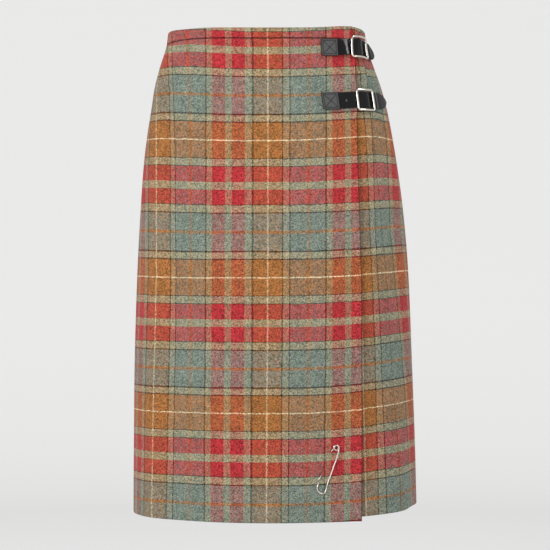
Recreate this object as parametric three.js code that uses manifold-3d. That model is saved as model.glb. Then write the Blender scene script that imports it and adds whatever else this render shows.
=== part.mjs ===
// Kilt skirt, filled out and hollow, in millimetres, +Z up.
// The origin is the middle of the waist opening, level with the top edge at centre front.
// The front faces -Y and the picture's right is +X.
import * as THREE from "three";
import { mergeVertices } from "three/addons/utils/BufferGeometryUtils.js";
import Module from "manifold-3d";

const wasm = await Module();
wasm.setup();

// Cloth
const CLOTH = 1.8; // thickness of the tweed
const GAP = 0.3; // between pieces that meet at a seam or lie on each other
const EASE = 0.5; // between the two aprons where they lap
const LAYER = CLOTH + EASE; // from the face of one apron to the face of the other
const BAND_HEIGHT = 14.6; // waistband, top edge to seam
const FRONT_LENGTH = 667.5; // waist to hem at centre front
const SIDE_SEAM_ANGLE = -84; // left side seam, degrees round from centre front
const UNDER_APRON_REACH = -34; // hidden edge of the under apron, degrees
const WAIST_RISE = 1.5; // the top edge rises between centre front and side
const WAIST_DIP = 2.4; // and dips at the sides
const HEM_RISE = { lap: 4, side: 12 }; // under apron's and back's hem over the over apron's
const HEM_CLIMB = { from: 15, to: 95 }; // degrees over which it rises
const HEM_FALL = { from: 95, to: 300 }; // and comes down again behind
const WELD = 1e-4; // points closer than this are one point
const ROW_CROWDING = 1.25; // rows lie closer together near the waist
const PANEL_ROWS = 18;

// Straps and buckles
const STRAP_WIDTH = 22.5;
const STRAP_THICKNESS = 1.5;
const STRAP_HOLE = 4; // diameter of the spare hole
const STRAP_POINT = 1.2; // half width at the very tip
const STRAP_FULLNESS = 0.8; // less than 1 makes the pointed end fuller than a half sine
const STRAP_CLIMB = { start: -10, end: -2 }; // along from the bar, where the strap climbs onto it
const STRAP_DROP = { start: 2, end: 10 }; // and comes down behind it
const STRAP_SETTLE = { start: 1, end: 8 }; // past the chape's end
const TIP_SPRING = 18; // length of strap that stands up at the tip
const TIP_CLEARANCE = 0.4; // under the strap past the chape
const PATCH_SIZE = 23.5;
const PATCH_THICKNESS = 1.6;
const PATCH_LAP = 0.6; // past the strap's end
const PATCH_BEVEL = { width: 1, depth: 0.5 };
const FRAME_WIDTH = 30; // along the strap
const FRAME_HEIGHT = 30.8; // across the strap
const FRAME_ROD = 3;
const FRAME_BEVEL = 0.7;
const FRAME_CORNER = 4.6;
const FRAME_LEVEL = 6; // middle of the rod above the under apron
const BAR_RADIUS = 1;
const BAR_LEVEL = 2.2;
const CHAPE_WIDTH = 18;
const CHAPE_TAIL = 20; // from the bar to the end that is sewn down
const CHAPE_THICKNESS = 1.4;
const EYE_RADIUS = 1.9; // outside of the chape's loop round the bar
const EYE_BORE = 1.3;
const BEND_SPACING = 4.5; // between points along a straight side that bends round the hip

// Kilt pin
const PIN_WIRE = 1.9; // diameter
const PIN_CLEARANCE = 0.35; // hole in the cloth round the wire
const COIL_RADIUS = 3.2; // middle of the wire
const COIL_PITCH = 2.2;

// Sections through the skirt: level, middle in X and Y, half width, depth in front and behind
const SECTIONS = [
  { level: 6, middleX: 0.2, middleY: -15, half: 136.2, front: 72, back: 107 },
  { level: 0, middleX: 0.2, middleY: -15, half: 137, front: 73, back: 108 },
  { level: -20, middleX: 0.3, middleY: -14, half: 140, front: 76, back: 111 },
  { level: -50, middleX: 0.7, middleY: -11, half: 150, front: 82, back: 117 },
  { level: -78, middleX: 2.2, middleY: -8, half: 158.6, front: 91, back: 124 },
  { level: -106, middleX: 3.8, middleY: -5, half: 164.6, front: 99, back: 130 },
  { level: -141, middleX: 4.5, middleY: -3, half: 171, front: 107, back: 135 },
  { level: -183, middleX: 5.2, middleY: -1, half: 177.2, front: 115, back: 138 },
  { level: -246, middleX: 6.8, middleY: 0, half: 183.3, front: 127, back: 139 },
  { level: -344, middleX: 8.9, middleY: 0, half: 189.9, front: 143, back: 139 },
  { level: -456, middleX: 9.6, middleY: 0, half: 193.9, front: 149, back: 141 },
  { level: -568, middleX: 11.2, middleY: 0, half: 196.6, front: 151, back: 144 },
  { level: -680, middleX: 12.4, middleY: 0, half: 198.4, front: 152, back: 147 },
];

// Where the waistband is cut higher: angle and half width in degrees, height
const WAIST_LIFTS = [
  { angle: 66, spread: 22, height: 5.2 },
  { angle: -78, spread: 14, height: 2.5 },
  { angle: 282, spread: 14, height: 2.5 },
];

// Over apron's free edge and the right side seam: level, degrees from centre front
const OPENING_EDGE = [
  { level: 6, angle: 58.8 },
  { level: -37, angle: 55.8 },
  { level: -65, angle: 51.1 },
  { level: -141, angle: 44.1 },
  { level: -274, angle: 39.9 },
  { level: -442, angle: 37.9 },
  { level: -680, angle: 35.6 },
];
const RIGHT_SEAM = [
  { level: 6, angle: 67.5 },
  { level: -58, angle: 63.9 },
  { level: -144, angle: 56.2 },
  { level: -274, angle: 54.4 },
  { level: -442, angle: 56.2 },
  { level: -680, angle: 58.4 },
];

// Soft folds: angle and half width in degrees, the levels where each starts and is full, height
const FOLDS = [
  { angle: 57, spread: 9, starts: -430, full: -640, height: 4.5 },
  { angle: 75, spread: 8, starts: -470, full: -660, height: -2.5 },
  { angle: -38, spread: 10, starts: -60, full: -330, height: -2.2 },
  { angle: -58, spread: 9, starts: -180, full: -420, height: 1.8 },
  { angle: 18, spread: 12, starts: -380, full: -660, height: -1.8 },
  { angle: 113, spread: 10, starts: -210, full: -640, height: 3.8 },
  { angle: 136, spread: 12, starts: -170, full: -600, height: -4.2 },
  { angle: 158, spread: 11, starts: -230, full: -650, height: 4.6 },
  { angle: 188, spread: 12, starts: -190, full: -660, height: -3.4 },
  { angle: 212, spread: 11, starts: -160, full: -620, height: 4.2 },
  { angle: 236, spread: 10, starts: -260, full: -650, height: -3.6 },
  { angle: 254, spread: 8, starts: -330, full: -660, height: 2.4 },
];
// The pinch in the cloth between the two straps
const PINCHES = [
  { angle: 59, spread: 5, level: -61, reach: 24, height: 1.6 },
  { angle: 50, spread: 4, level: -63, reach: 24, height: -0.5 },
];

// Straps: level and angle of the stitched end and the buckle, angle of the tip, how far the tip lifts.
// Upright is how far the work stands up out of the skirt's flare, at the stitched end and at the buckle.
const STRAPS = [
  {
    name: "upper", startAngle: 31.4, startLevel: -26.3, buckleAngle: 61.6, buckleLevel: -22.4,
    tipAngle: 84, tipLevel: -30, tipLift: 5.5, tipLength: 12, holeAngle: 47.1,
    uprightStart: 0.12, uprightBuckle: 0.19,
  },
  {
    name: "lower", startAngle: 26.1, startLevel: -100.4, buckleAngle: 52.8, buckleLevel: -96.6,
    tipAngle: 81.5, tipLevel: -96.4, tipLift: 1.2, tipLength: 22, holeAngle: 39.9,
    uprightStart: 0, uprightBuckle: 0.11,
  },
];

const radians = THREE.MathUtils.degToRad;
const lerp = THREE.MathUtils.lerp;

function smooth(from, to, value) {
  const part = THREE.MathUtils.clamp((value - from) / (to - from), 0, 1);
  return part * part * (3 - 2 * part);
}

// A smooth curve through a table's rows, read at a level
function readTable(rows, key, level) {
  const at = THREE.MathUtils.clamp(level, rows.at(-1).level, rows[0].level);
  let row = 0;
  while (row < rows.length - 2 && rows[row + 1].level > at) row += 1;
  const slope = (index) => {
    const above = rows[Math.max(index - 1, 0)];
    const below = rows[Math.min(index + 1, rows.length - 1)];
    return (above[key] - below[key]) / (above.level - below.level);
  };
  const step = rows[row + 1].level - rows[row].level;
  const part = (at - rows[row].level) / step;
  const square = part * part;
  const cube = square * part;
  return (2 * cube - 3 * square + 1) * rows[row][key] + (cube - 2 * square + part) * step * slope(row)
    + (3 * square - 2 * cube) * rows[row + 1][key] + (cube - square) * step * slope(row + 1);
}

function sectionAt(level) {
  const section = {};
  for (const key of ["middleX", "middleY", "half", "front", "back"]) {
    section[key] = readTable(SECTIONS, key, level);
  }
  return section;
}

function bump(distance, spread) {
  return Math.abs(distance) < 2 * spread ? Math.cos((distance / spread) * (Math.PI / 4)) ** 2 : 0;
}

function foldHeight(angle, level) {
  let height = 0;
  for (const fold of FOLDS) {
    height += fold.height * bump(angle - fold.angle, fold.spread) * smooth(fold.starts, fold.full, level);
  }
  for (const pinch of PINCHES) {
    height += pinch.height * bump(angle - pinch.angle, pinch.spread)
      * bump(level - pinch.level, pinch.reach / 2);
  }
  return height;
}

// A point of the skirt: angle round from centre front, level, and distance out from its base face
function skirtPoint(angle, level, out) {
  const section = sectionAt(level);
  const turn = radians(angle);
  const depth = Math.cos(turn) > 0 ? section.front : section.back;
  const normal = new THREE.Vector2(Math.sin(turn) / section.half, -Math.cos(turn) / depth).normalize();
  const distance = out + foldHeight(angle, level);
  return new THREE.Vector3(
    section.middleX + section.half * Math.sin(turn) + distance * normal.x,
    section.middleY - depth * Math.cos(turn) + distance * normal.y,
    level,
  );
}

// Degrees that a length along the cloth takes up
function degreesFor(length, angle, level) {
  const section = sectionAt(level);
  const turn = radians(angle);
  const depth = Math.cos(turn) > 0 ? section.front : section.back;
  const speed = Math.hypot(section.half * Math.cos(turn), depth * Math.sin(turn));
  return THREE.MathUtils.radToDeg(length / speed);
}

const openingEdge = (level) => readTable(OPENING_EDGE, "angle", level);
const rightSeam = (level) => readTable(RIGHT_SEAM, "angle", level);

// The over apron lies one layer out over the under apron and comes down to the left side seam
const overOut = (angle) => LAYER * smooth(SIDE_SEAM_ANGLE, -20, angle);
const underOut = (angle) => overOut(angle) - LAYER;
const backOut = () => 0;

const seamLevel = (angle) => WAIST_RISE * Math.sin(radians(2 * angle)) ** 2
  - WAIST_DIP * Math.sin(radians(angle)) ** 8 - BAND_HEIGHT;
const waistLift = (angle) => WAIST_LIFTS.reduce(
  (sum, lift) => sum + lift.height * bump(angle - lift.angle, lift.spread), 0);
const waistLevel = (angle) => seamLevel(angle) + BAND_HEIGHT + waistLift(angle);
const overHem = () => -FRONT_LENGTH;
// The hem of the under apron and the back, highest at the right side
const raisedHem = (angle) => -FRONT_LENGTH
  + lerp(HEM_RISE.lap, HEM_RISE.side, smooth(HEM_CLIMB.from, HEM_CLIMB.to, angle))
  - HEM_RISE.side * smooth(HEM_FALL.from, HEM_FALL.to, angle);

// One closed body from two grids of points, an outer and an inner one
function closedWall(outer, inner) {
  const columns = outer.length;
  const rows = outer[0].length;
  const positions = [];
  for (const grid of [outer, inner]) {
    for (const column of grid) {
      for (const point of column) positions.push(point.x, point.y, point.z);
    }
  }
  const at = (side, column, row) => side * columns * rows + column * rows + row;
  const faces = [];
  const quad = (a, b, c, d) => faces.push(a, b, c, a, c, d);
  for (let column = 0; column < columns - 1; column += 1) {
    for (let row = 0; row < rows - 1; row += 1) {
      quad(at(0, column, row), at(0, column, row + 1), at(0, column + 1, row + 1), at(0, column + 1, row));
      quad(at(1, column, row), at(1, column + 1, row), at(1, column + 1, row + 1), at(1, column, row + 1));
    }
    quad(at(0, column, 0), at(0, column + 1, 0), at(1, column + 1, 0), at(1, column, 0));
    const last = rows - 1;
    quad(at(0, column, last), at(1, column, last), at(1, column + 1, last), at(0, column + 1, last));
  }
  for (let row = 0; row < rows - 1; row += 1) {
    quad(at(0, 0, row), at(1, 0, row), at(1, 0, row + 1), at(0, 0, row + 1));
    const last = columns - 1;
    quad(at(0, last, row), at(0, last, row + 1), at(1, last, row + 1), at(1, last, row));
  }
  const geometry = new THREE.BufferGeometry();
  geometry.setAttribute("position", new THREE.Float32BufferAttribute(positions, 3));
  geometry.setIndex(faces);
  return geometry;
}

// A cut piece of cloth between two edges that run down it, and a top and a bottom line
function clothPiece({ from, to, top, bottom, out, columns, rows }) {
  const faceGrid = [];
  const backGrid = [];
  for (let column = 0; column <= columns; column += 1) {
    const across = column / columns;
    const angleAt = (level) => lerp(from(level), to(level), across);
    const high = top(angleAt(top(0)));
    const low = bottom(angleAt(bottom(0)));
    const facePoints = [];
    const backPoints = [];
    for (let row = 0; row <= rows; row += 1) {
      const level = lerp(high, low, (row / rows) ** ROW_CROWDING);
      const angle = angleAt(level);
      facePoints.push(skirtPoint(angle, level, out(angle)));
      backPoints.push(skirtPoint(angle, level, out(angle) - CLOTH));
    }
    faceGrid.push(facePoints);
    backGrid.push(backPoints);
  }
  return closedWall(faceGrid, backGrid);
}

// Edges: the seams leave half a gap on each side
const leftOfRightSeam = (level) => rightSeam(level) - degreesFor(GAP / 2, rightSeam(level), level);
const rightOfRightSeam = (level) => rightSeam(level) + degreesFor(GAP / 2, rightSeam(level), level);
const frontOfLeftSeam = (level) => SIDE_SEAM_ANGLE + degreesFor(GAP / 2, SIDE_SEAM_ANGLE, level);
const behindLeftSeam = (level) => 360 + SIDE_SEAM_ANGLE - degreesFor(GAP / 2, SIDE_SEAM_ANGLE, level);

const ROUND = {
  over: { from: frontOfLeftSeam, to: openingEdge, out: overOut, columns: 44, hem: overHem },
  under: { from: () => UNDER_APRON_REACH, to: leftOfRightSeam, out: underOut, columns: 34, hem: raisedHem },
  back: { from: rightOfRightSeam, to: behindLeftSeam, out: backOut, columns: 52, hem: raisedHem },
};

function panel(round) {
  const top = (angle) => seamLevel(angle) - GAP;
  return clothPiece({ ...round, top, bottom: round.hem, rows: PANEL_ROWS });
}

function waistbandPiece(round) {
  return clothPiece({ ...round, top: waistLevel, bottom: seamLevel, rows: 1 });
}

// Solids for cutting and joining
function toSolid(geometry) {
  const plain = geometry.clone();
  plain.deleteAttribute("normal");
  plain.deleteAttribute("uv");
  const merged = mergeVertices(plain, WELD);
  return new wasm.Manifold(new wasm.Mesh({
    numProp: 3,
    vertProperties: new Float32Array(merged.attributes.position.array),
    triVerts: new Uint32Array(merged.index.array),
  }));
}

function fromSolid(solid) {
  const mesh = solid.getMesh();
  const geometry = new THREE.BufferGeometry();
  geometry.setAttribute("position", new THREE.BufferAttribute(mesh.vertProperties, 3));
  geometry.setIndex(new THREE.BufferAttribute(mesh.triVerts, 1));
  return geometry;
}

function wire(points, radius, steps, sides) {
  const ring = new THREE.Shape();
  ring.absarc(0, 0, radius, 0, 2 * Math.PI, false);
  return new THREE.ExtrudeGeometry(ring, {
    steps,
    curveSegments: sides,
    bevelEnabled: false,
    extrudePath: new THREE.CatmullRomCurve3(points, false, "centripetal"),
  });
}

// Flat strap work: x runs along the strap from the buckle's bar, y up across it, z out from the cloth.
// This lays a flat piece round the skirt.
function strapPoint(strap, along, across, out) {
  let angle = strap.buckleAngle;
  const steps = 24;
  for (let step = 0; step < steps; step += 1) {
    angle += degreesFor(along / steps, angle, strap.buckleLevel);
  }
  const before = smooth(strap.startAngle, strap.buckleAngle, angle);
  const after = smooth(strap.buckleAngle, strap.tipAngle, angle);
  const level = lerp(lerp(strap.startLevel, strap.buckleLevel, before), strap.tipLevel, after);
  const upright = lerp(strap.uprightStart, strap.uprightBuckle, before);
  return skirtPoint(angle + degreesFor(upright * across, angle, level), level + across, out);
}

function layOnSkirt(geometry, strap) {
  const laid = geometry.clone();
  const positions = laid.attributes.position;
  for (let index = 0; index < positions.count; index += 1) {
    const point = strapPoint(strap, positions.getX(index), positions.getY(index), positions.getZ(index));
    positions.setXYZ(index, point.x, point.y, point.z);
  }
  return laid;
}

// Length along the cloth from the buckle's bar to an angle, less than nothing towards the front
function lengthTo(strap, angle) {
  const steps = 40;
  const step = (angle - strap.buckleAngle) / steps;
  let length = 0;
  for (let index = 0; index < steps; index += 1) {
    length += step / degreesFor(1, strap.buckleAngle + (index + 0.5) * step, strap.buckleLevel);
  }
  return length;
}

const ON_OVER_APRON = LAYER + GAP; // underside of a piece that lies on the over apron
const OVER_BAR = BAR_LEVEL + EYE_RADIUS + GAP; // underside of the strap where it crosses the bar
const OVER_CHAPE = GAP + CHAPE_THICKNESS + GAP;

// Underside of the strap, along from the bar: under the frame, over the bar, under the frame
function strapUnderside(along, tip, lift) {
  const rise = smooth(STRAP_CLIMB.start, STRAP_CLIMB.end, along);
  const fall = smooth(STRAP_DROP.start, STRAP_DROP.end, along);
  const settle = smooth(CHAPE_TAIL + STRAP_SETTLE.start, CHAPE_TAIL + STRAP_SETTLE.end, along);
  const onBar = lerp(ON_OVER_APRON, OVER_BAR, rise);
  const onChape = lerp(onBar, OVER_CHAPE, fall);
  const stands = lift * smooth(tip - TIP_SPRING, tip, along);
  return lerp(onChape, TIP_CLEARANCE, settle) + stands;
}

function strapHalfWidth(along, tip, tipLength) {
  const left = (tip - along) / tipLength;
  if (left >= 1) return STRAP_WIDTH / 2;
  const fullness = Math.sin((Math.max(left, 0) * Math.PI) / 2) ** STRAP_FULLNESS;
  return Math.max(STRAP_POINT, (STRAP_WIDTH / 2) * fullness);
}

function leatherStrap(strap) {
  const start = lengthTo(strap, strap.startAngle);
  const tip = lengthTo(strap, strap.tipAngle);
  const columns = 36;
  const rows = 2;
  const face = [];
  const back = [];
  for (let column = 0; column <= columns; column += 1) {
    const along = lerp(start, tip, column / columns);
    const half = strapHalfWidth(along, tip, strap.tipLength);
    const under = strapUnderside(along, tip, strap.tipLift);
    const facePoints = [];
    const backPoints = [];
    for (let row = 0; row <= rows; row += 1) {
      const across = lerp(half, -half, row / rows);
      facePoints.push(strapPoint(strap, along, across, under + STRAP_THICKNESS));
      backPoints.push(strapPoint(strap, along, across, under));
    }
    face.push(facePoints);
    back.push(backPoints);
  }
  const hole = new THREE.CylinderGeometry(STRAP_HOLE / 2, STRAP_HOLE / 2, 4 * STRAP_THICKNESS, 16);
  hole.rotateX(Math.PI / 2);
  hole.translate(lengthTo(strap, strap.holeAngle), 0, ON_OVER_APRON + STRAP_THICKNESS / 2);
  const cut = toSolid(closedWall(face, back)).subtract(toSolid(layOnSkirt(hole, strap)));
  return fromSolid(cut);
}

function stitchedPatch(strap) {
  const start = lengthTo(strap, strap.startAngle) - PATCH_LAP;
  const columns = 6;
  const half = PATCH_SIZE / 2;
  const rows = [half, half - PATCH_BEVEL.width, 0, PATCH_BEVEL.width - half, -half];
  const under = ON_OVER_APRON + STRAP_THICKNESS + GAP;
  const face = [];
  const back = [];
  for (let column = 0; column <= columns; column += 1) {
    const along = start + (PATCH_SIZE * column) / columns;
    const atEnd = column === 0 || column === columns;
    face.push(rows.map((across, row) => {
      const onEdge = atEnd || row === 0 || row === rows.length - 1;
      return strapPoint(strap, along, across, under + PATCH_THICKNESS - (onEdge ? PATCH_BEVEL.depth : 0));
    }));
    back.push(rows.map((across) => strapPoint(strap, along, across, under)));
  }
  return closedWall(face, back);
}

// A rounded rectangle with points along its straight sides, so that it can bend round the skirt
function roundedOutline(width, height, corner) {
  const path = new THREE.Path();
  const x = width / 2 - corner;
  const y = height / 2 - corner;
  path.absarc(x, y, corner, 0, Math.PI / 2, false);
  path.absarc(-x, y, corner, Math.PI / 2, Math.PI, false);
  path.absarc(-x, -y, corner, Math.PI, 1.5 * Math.PI, false);
  path.absarc(x, -y, corner, 1.5 * Math.PI, 2 * Math.PI, false);
  path.closePath();
  const corners = path.getPoints(2);
  const points = [];
  corners.slice(0, -1).forEach((point, index) => {
    const next = corners[index + 1];
    const steps = Math.max(1, Math.round(point.distanceTo(next) / BEND_SPACING));
    for (let step = 0; step < steps; step += 1) points.push(point.clone().lerp(next, step / steps));
  });
  return points;
}

// The bar's upper half: how far in from the middle of the frame's rod, and its level.
// It drops from the frame in a short crank, then runs straight.
const BAR_HALF = [
  { inward: 0, level: FRAME_LEVEL },
  { inward: 1.6, level: BAR_LEVEL + 0.8 },
  { inward: 3, level: BAR_LEVEL },
  { inward: 4, level: BAR_LEVEL },
  { inward: 8, level: BAR_LEVEL },
];

// The frame with its dropped centre bar, one casting
function buckle(strap) {
  const bevel = FRAME_BEVEL;
  const outline = new THREE.Shape(roundedOutline(FRAME_WIDTH - 2 * bevel, FRAME_HEIGHT - 2 * bevel,
    FRAME_CORNER - bevel));
  outline.holes.push(new THREE.Path(roundedOutline(FRAME_WIDTH - 2 * FRAME_ROD + 2 * bevel,
    FRAME_HEIGHT - 2 * FRAME_ROD + 2 * bevel, FRAME_CORNER - FRAME_ROD + bevel)));
  const frame = new THREE.ExtrudeGeometry(outline, {
    depth: FRAME_ROD - 2 * bevel,
    bevelEnabled: true,
    bevelSegments: 1,
    bevelSize: bevel,
    bevelThickness: bevel,
  });
  frame.translate(0, 0, FRAME_LEVEL - FRAME_ROD / 2 + bevel);
  const end = FRAME_HEIGHT / 2 - FRAME_ROD / 2;
  const upper = BAR_HALF.map((row) => new THREE.Vector3(0, end - row.inward, row.level));
  const lower = BAR_HALF.map((row) => new THREE.Vector3(0, row.inward - end, row.level)).reverse();
  const bar = wire([...upper, ...lower], BAR_RADIUS, 20, 4);
  return layOnSkirt(fromSolid(toSolid(frame).add(toSolid(bar))), strap);
}

// The leather that is folded round the bar and sewn to the under apron
function chape(strap) {
  const outline = new THREE.Shape();
  const leave = Math.asin((EYE_RADIUS - CHAPE_THICKNESS) / EYE_RADIUS);
  const tailSteps = 6;
  outline.moveTo(CHAPE_TAIL, -EYE_RADIUS);
  for (let step = tailSteps; step > 0; step -= 1) {
    const along = lerp(EYE_RADIUS * Math.cos(leave), CHAPE_TAIL, step / tailSteps);
    outline.lineTo(along, CHAPE_THICKNESS - EYE_RADIUS);
  }
  outline.absarc(0, 0, EYE_RADIUS, -leave, 1.5 * Math.PI, false);
  for (let step = 1; step < tailSteps; step += 1) {
    outline.lineTo((CHAPE_TAIL * step) / tailSteps, -EYE_RADIUS);
  }
  const bore = new THREE.Path();
  bore.absarc(0, 0, EYE_BORE, 0, 2 * Math.PI, false);
  outline.holes.push(bore);
  const loop = new THREE.ExtrudeGeometry(outline, {
    depth: CHAPE_WIDTH,
    steps: 4,
    curveSegments: 6,
    bevelEnabled: false,
  });
  loop.rotateX(Math.PI / 2);
  loop.translate(0, CHAPE_WIDTH / 2, BAR_LEVEL);
  return layOnSkirt(loop, strap);
}

// The kilt pin: one wire, from its point through both aprons to the coil, down the arm and round the guard.
// Each row is across to the right, up, and out from the over apron's face, from the pin's own middle.
const PIN_AT = { angle: 20.2, level: -597 };
const PIN_OFF_FACE = 0.7; // between the wire and the over apron
const PIN_OFF_BACK = 0.5; // between the wire and the under apron
const PIN_OUT = PIN_WIRE / 2 + PIN_OFF_FACE;
const PIN_INSIDE = -(CLOTH + LAYER) - PIN_OFF_BACK - PIN_WIRE / 2;
const COIL = { across: 14, up: 29.3, turns: 1.55, start: 205, steps: 18 };
const NEEDLE = [
  { across: -10.6, up: -12.6, out: PIN_OUT + 0.3 },
  { across: -8.4, up: -9.9, out: PIN_OUT - 0.2 },
  { across: -5.9, up: -6.6, out: -1.6 },
  { across: -3.8, up: -2.6, out: PIN_INSIDE + 0.5 },
  { across: -1.4, up: 2.8, out: PIN_INSIDE },
  { across: 3.4, up: 14, out: PIN_INSIDE },
  { across: 5.6, up: 19, out: PIN_INSIDE + 0.5 },
  { across: 7.4, up: 23, out: -1.6 },
  { across: 9, up: 26.2, out: PIN_OUT - 0.2 },
];
const ARM = [
  { across: 16.4, up: 24.4 },
  { across: 8.7, up: 1.2 },
  { across: 1.1, up: -20 },
  { across: -0.8, up: -27.2 },
  { across: -3.4, up: -31 },
  { across: -7.6, up: -31.2 },
  { across: -11.6, up: -27.6 },
  { across: -12.6, up: -23.4 },
  { across: -11, up: -18.2 },
  { across: -11.3, up: -15.6 },
];

function pinPoint({ across, up, out }) {
  const angle = PIN_AT.angle + degreesFor(across, PIN_AT.angle, PIN_AT.level);
  return skirtPoint(angle, PIN_AT.level + up, out + overOut(PIN_AT.angle));
}

function coilTurns() {
  const rows = [];
  for (let step = 0; step <= COIL.steps; step += 1) {
    const turns = (step / COIL.steps) * COIL.turns;
    const turn = radians(COIL.start - turns * 360);
    rows.push({
      across: COIL.across + COIL_RADIUS * Math.cos(turn),
      up: COIL.up + COIL_RADIUS * Math.sin(turn),
      out: PIN_OUT + turns * COIL_PITCH,
    });
  }
  return rows;
}

function kiltPin() {
  const coil = coilTurns();
  const top = coil.at(-1).out;
  const arm = ARM.map((row, index) => ({ ...row, out: lerp(top, PIN_OUT, smooth(0, 2, index)) }));
  return wire([...NEEDLE, ...coil, ...arm].map(pinPoint), PIN_WIRE / 2, 120, 3);
}

function withPinHoles(geometry) {
  const path = NEEDLE.slice(1).map(pinPoint);
  const hole = wire(path, PIN_WIRE / 2 + PIN_CLEARANCE, 30, 4);
  return fromSolid(toSolid(geometry).subtract(toSolid(hole)));
}

const tweed = { color: 0x9a7560, roughness: 0.95, metalness: 0 };
const leather = { color: 0x1f1f22, roughness: 0.38, metalness: 0 };
const nickel = { color: 0xd6d2c6, roughness: 0.22, metalness: 1 };
const steel = { color: 0xb9bbbd, roughness: 0.25, metalness: 1 };

const skirt = new THREE.Group();

function addPiece(name, geometry, finish) {
  const piece = new THREE.Mesh(geometry, new THREE.MeshStandardMaterial(finish));
  piece.name = name;
  skirt.add(piece);
}

addPiece("over_apron", withPinHoles(panel(ROUND.over)), tweed);
addPiece("under_apron", withPinHoles(panel(ROUND.under)), tweed);
addPiece("back_panel", panel(ROUND.back), tweed);
addPiece("waistband_over", waistbandPiece(ROUND.over), tweed);
addPiece("waistband_under", waistbandPiece(ROUND.under), tweed);
addPiece("waistband_back", waistbandPiece(ROUND.back), tweed);
for (const strap of STRAPS) {
  addPiece(`strap_${strap.name}`, leatherStrap(strap), leather);
  addPiece(`strap_patch_${strap.name}`, stitchedPatch(strap), leather);
  addPiece(`buckle_chape_${strap.name}`, chape(strap), leather);
  addPiece(`buckle_${strap.name}`, buckle(strap), nickel);
}
addPiece("kilt_pin", kiltPin(), steel);

export default skirt;
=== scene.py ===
import math

import bpy
import numpy as np
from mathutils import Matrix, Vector


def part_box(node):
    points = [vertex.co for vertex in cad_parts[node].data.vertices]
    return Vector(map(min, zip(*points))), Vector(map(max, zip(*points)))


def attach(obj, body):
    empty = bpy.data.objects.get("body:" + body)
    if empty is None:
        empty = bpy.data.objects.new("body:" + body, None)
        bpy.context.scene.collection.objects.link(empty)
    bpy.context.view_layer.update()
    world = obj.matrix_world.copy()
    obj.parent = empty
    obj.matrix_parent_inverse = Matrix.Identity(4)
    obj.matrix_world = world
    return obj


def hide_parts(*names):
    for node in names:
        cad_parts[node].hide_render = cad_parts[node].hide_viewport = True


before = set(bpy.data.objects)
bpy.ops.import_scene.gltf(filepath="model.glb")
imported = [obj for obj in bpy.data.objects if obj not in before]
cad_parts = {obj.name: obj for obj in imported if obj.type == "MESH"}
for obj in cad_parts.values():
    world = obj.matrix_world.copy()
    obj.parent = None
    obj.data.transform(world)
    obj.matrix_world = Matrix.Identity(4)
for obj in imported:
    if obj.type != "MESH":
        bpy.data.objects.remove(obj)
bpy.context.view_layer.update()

# Studio: a white sweep of paper that rises all round, a large softbox on the left, a weaker one on the
# right and a small one high on the right. The camera stands level with the middle of the skirt, a long lens
# away. Places are in metres from the middle of the waist.
CAMERA_AT = (0.012, -3.1, -0.3368)
CAMERA_LENS = 144.9
SENSOR = 36.0
FLOOR_BELOW_HEM = 0.35
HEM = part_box("over_apron")[0].z
SWEEP_RADIUS = 4.2
SWEEP_CORNER = 0.8
SWEEP_HEIGHT = 2.6
SWEEP_SIDES = 96
CORNER_STEPS = 12
# place, what it points at, width in metres, power in watts
SOFTBOXES = [
    ("softbox_left", (-1.7, -2.6, 0.75), (0.0, 0.0, -0.35), 1.6, 74.0),
    ("softbox_right", (1.9, -2.3, 0.2), (0.05, 0.0, -0.35), 0.9, 9.0),
    ("softbox_top", (1.55, -0.33, 1.19), (0.11, -0.07, -0.02), 0.5, 12.0),
]
WORLD_STRENGTH = 0.68


def material(name):
    """A new material, its node tree and the tree's Principled shader."""
    new = bpy.data.materials.new(name)
    new.use_nodes = True
    tree = new.node_tree
    return new, tree, tree.nodes["Principled BSDF"]


def put(tree, kind, values=None, **settings):
    """Adds a node. Values are numbers or the outputs that feed its inputs."""
    node = tree.nodes.new(kind)
    for key, value in settings.items():
        setattr(node, key, value)
    for socket, value in (values or {}).items():
        if isinstance(value, bpy.types.NodeSocket):
            tree.links.new(value, node.inputs[socket])
        else:
            node.inputs[socket].default_value = value
    return node


def maths(tree, operation, first, second=0.0, third=0.0):
    return put(tree, "ShaderNodeMath", {0: first, 1: second, 2: third}, operation=operation).outputs[0]


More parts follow.
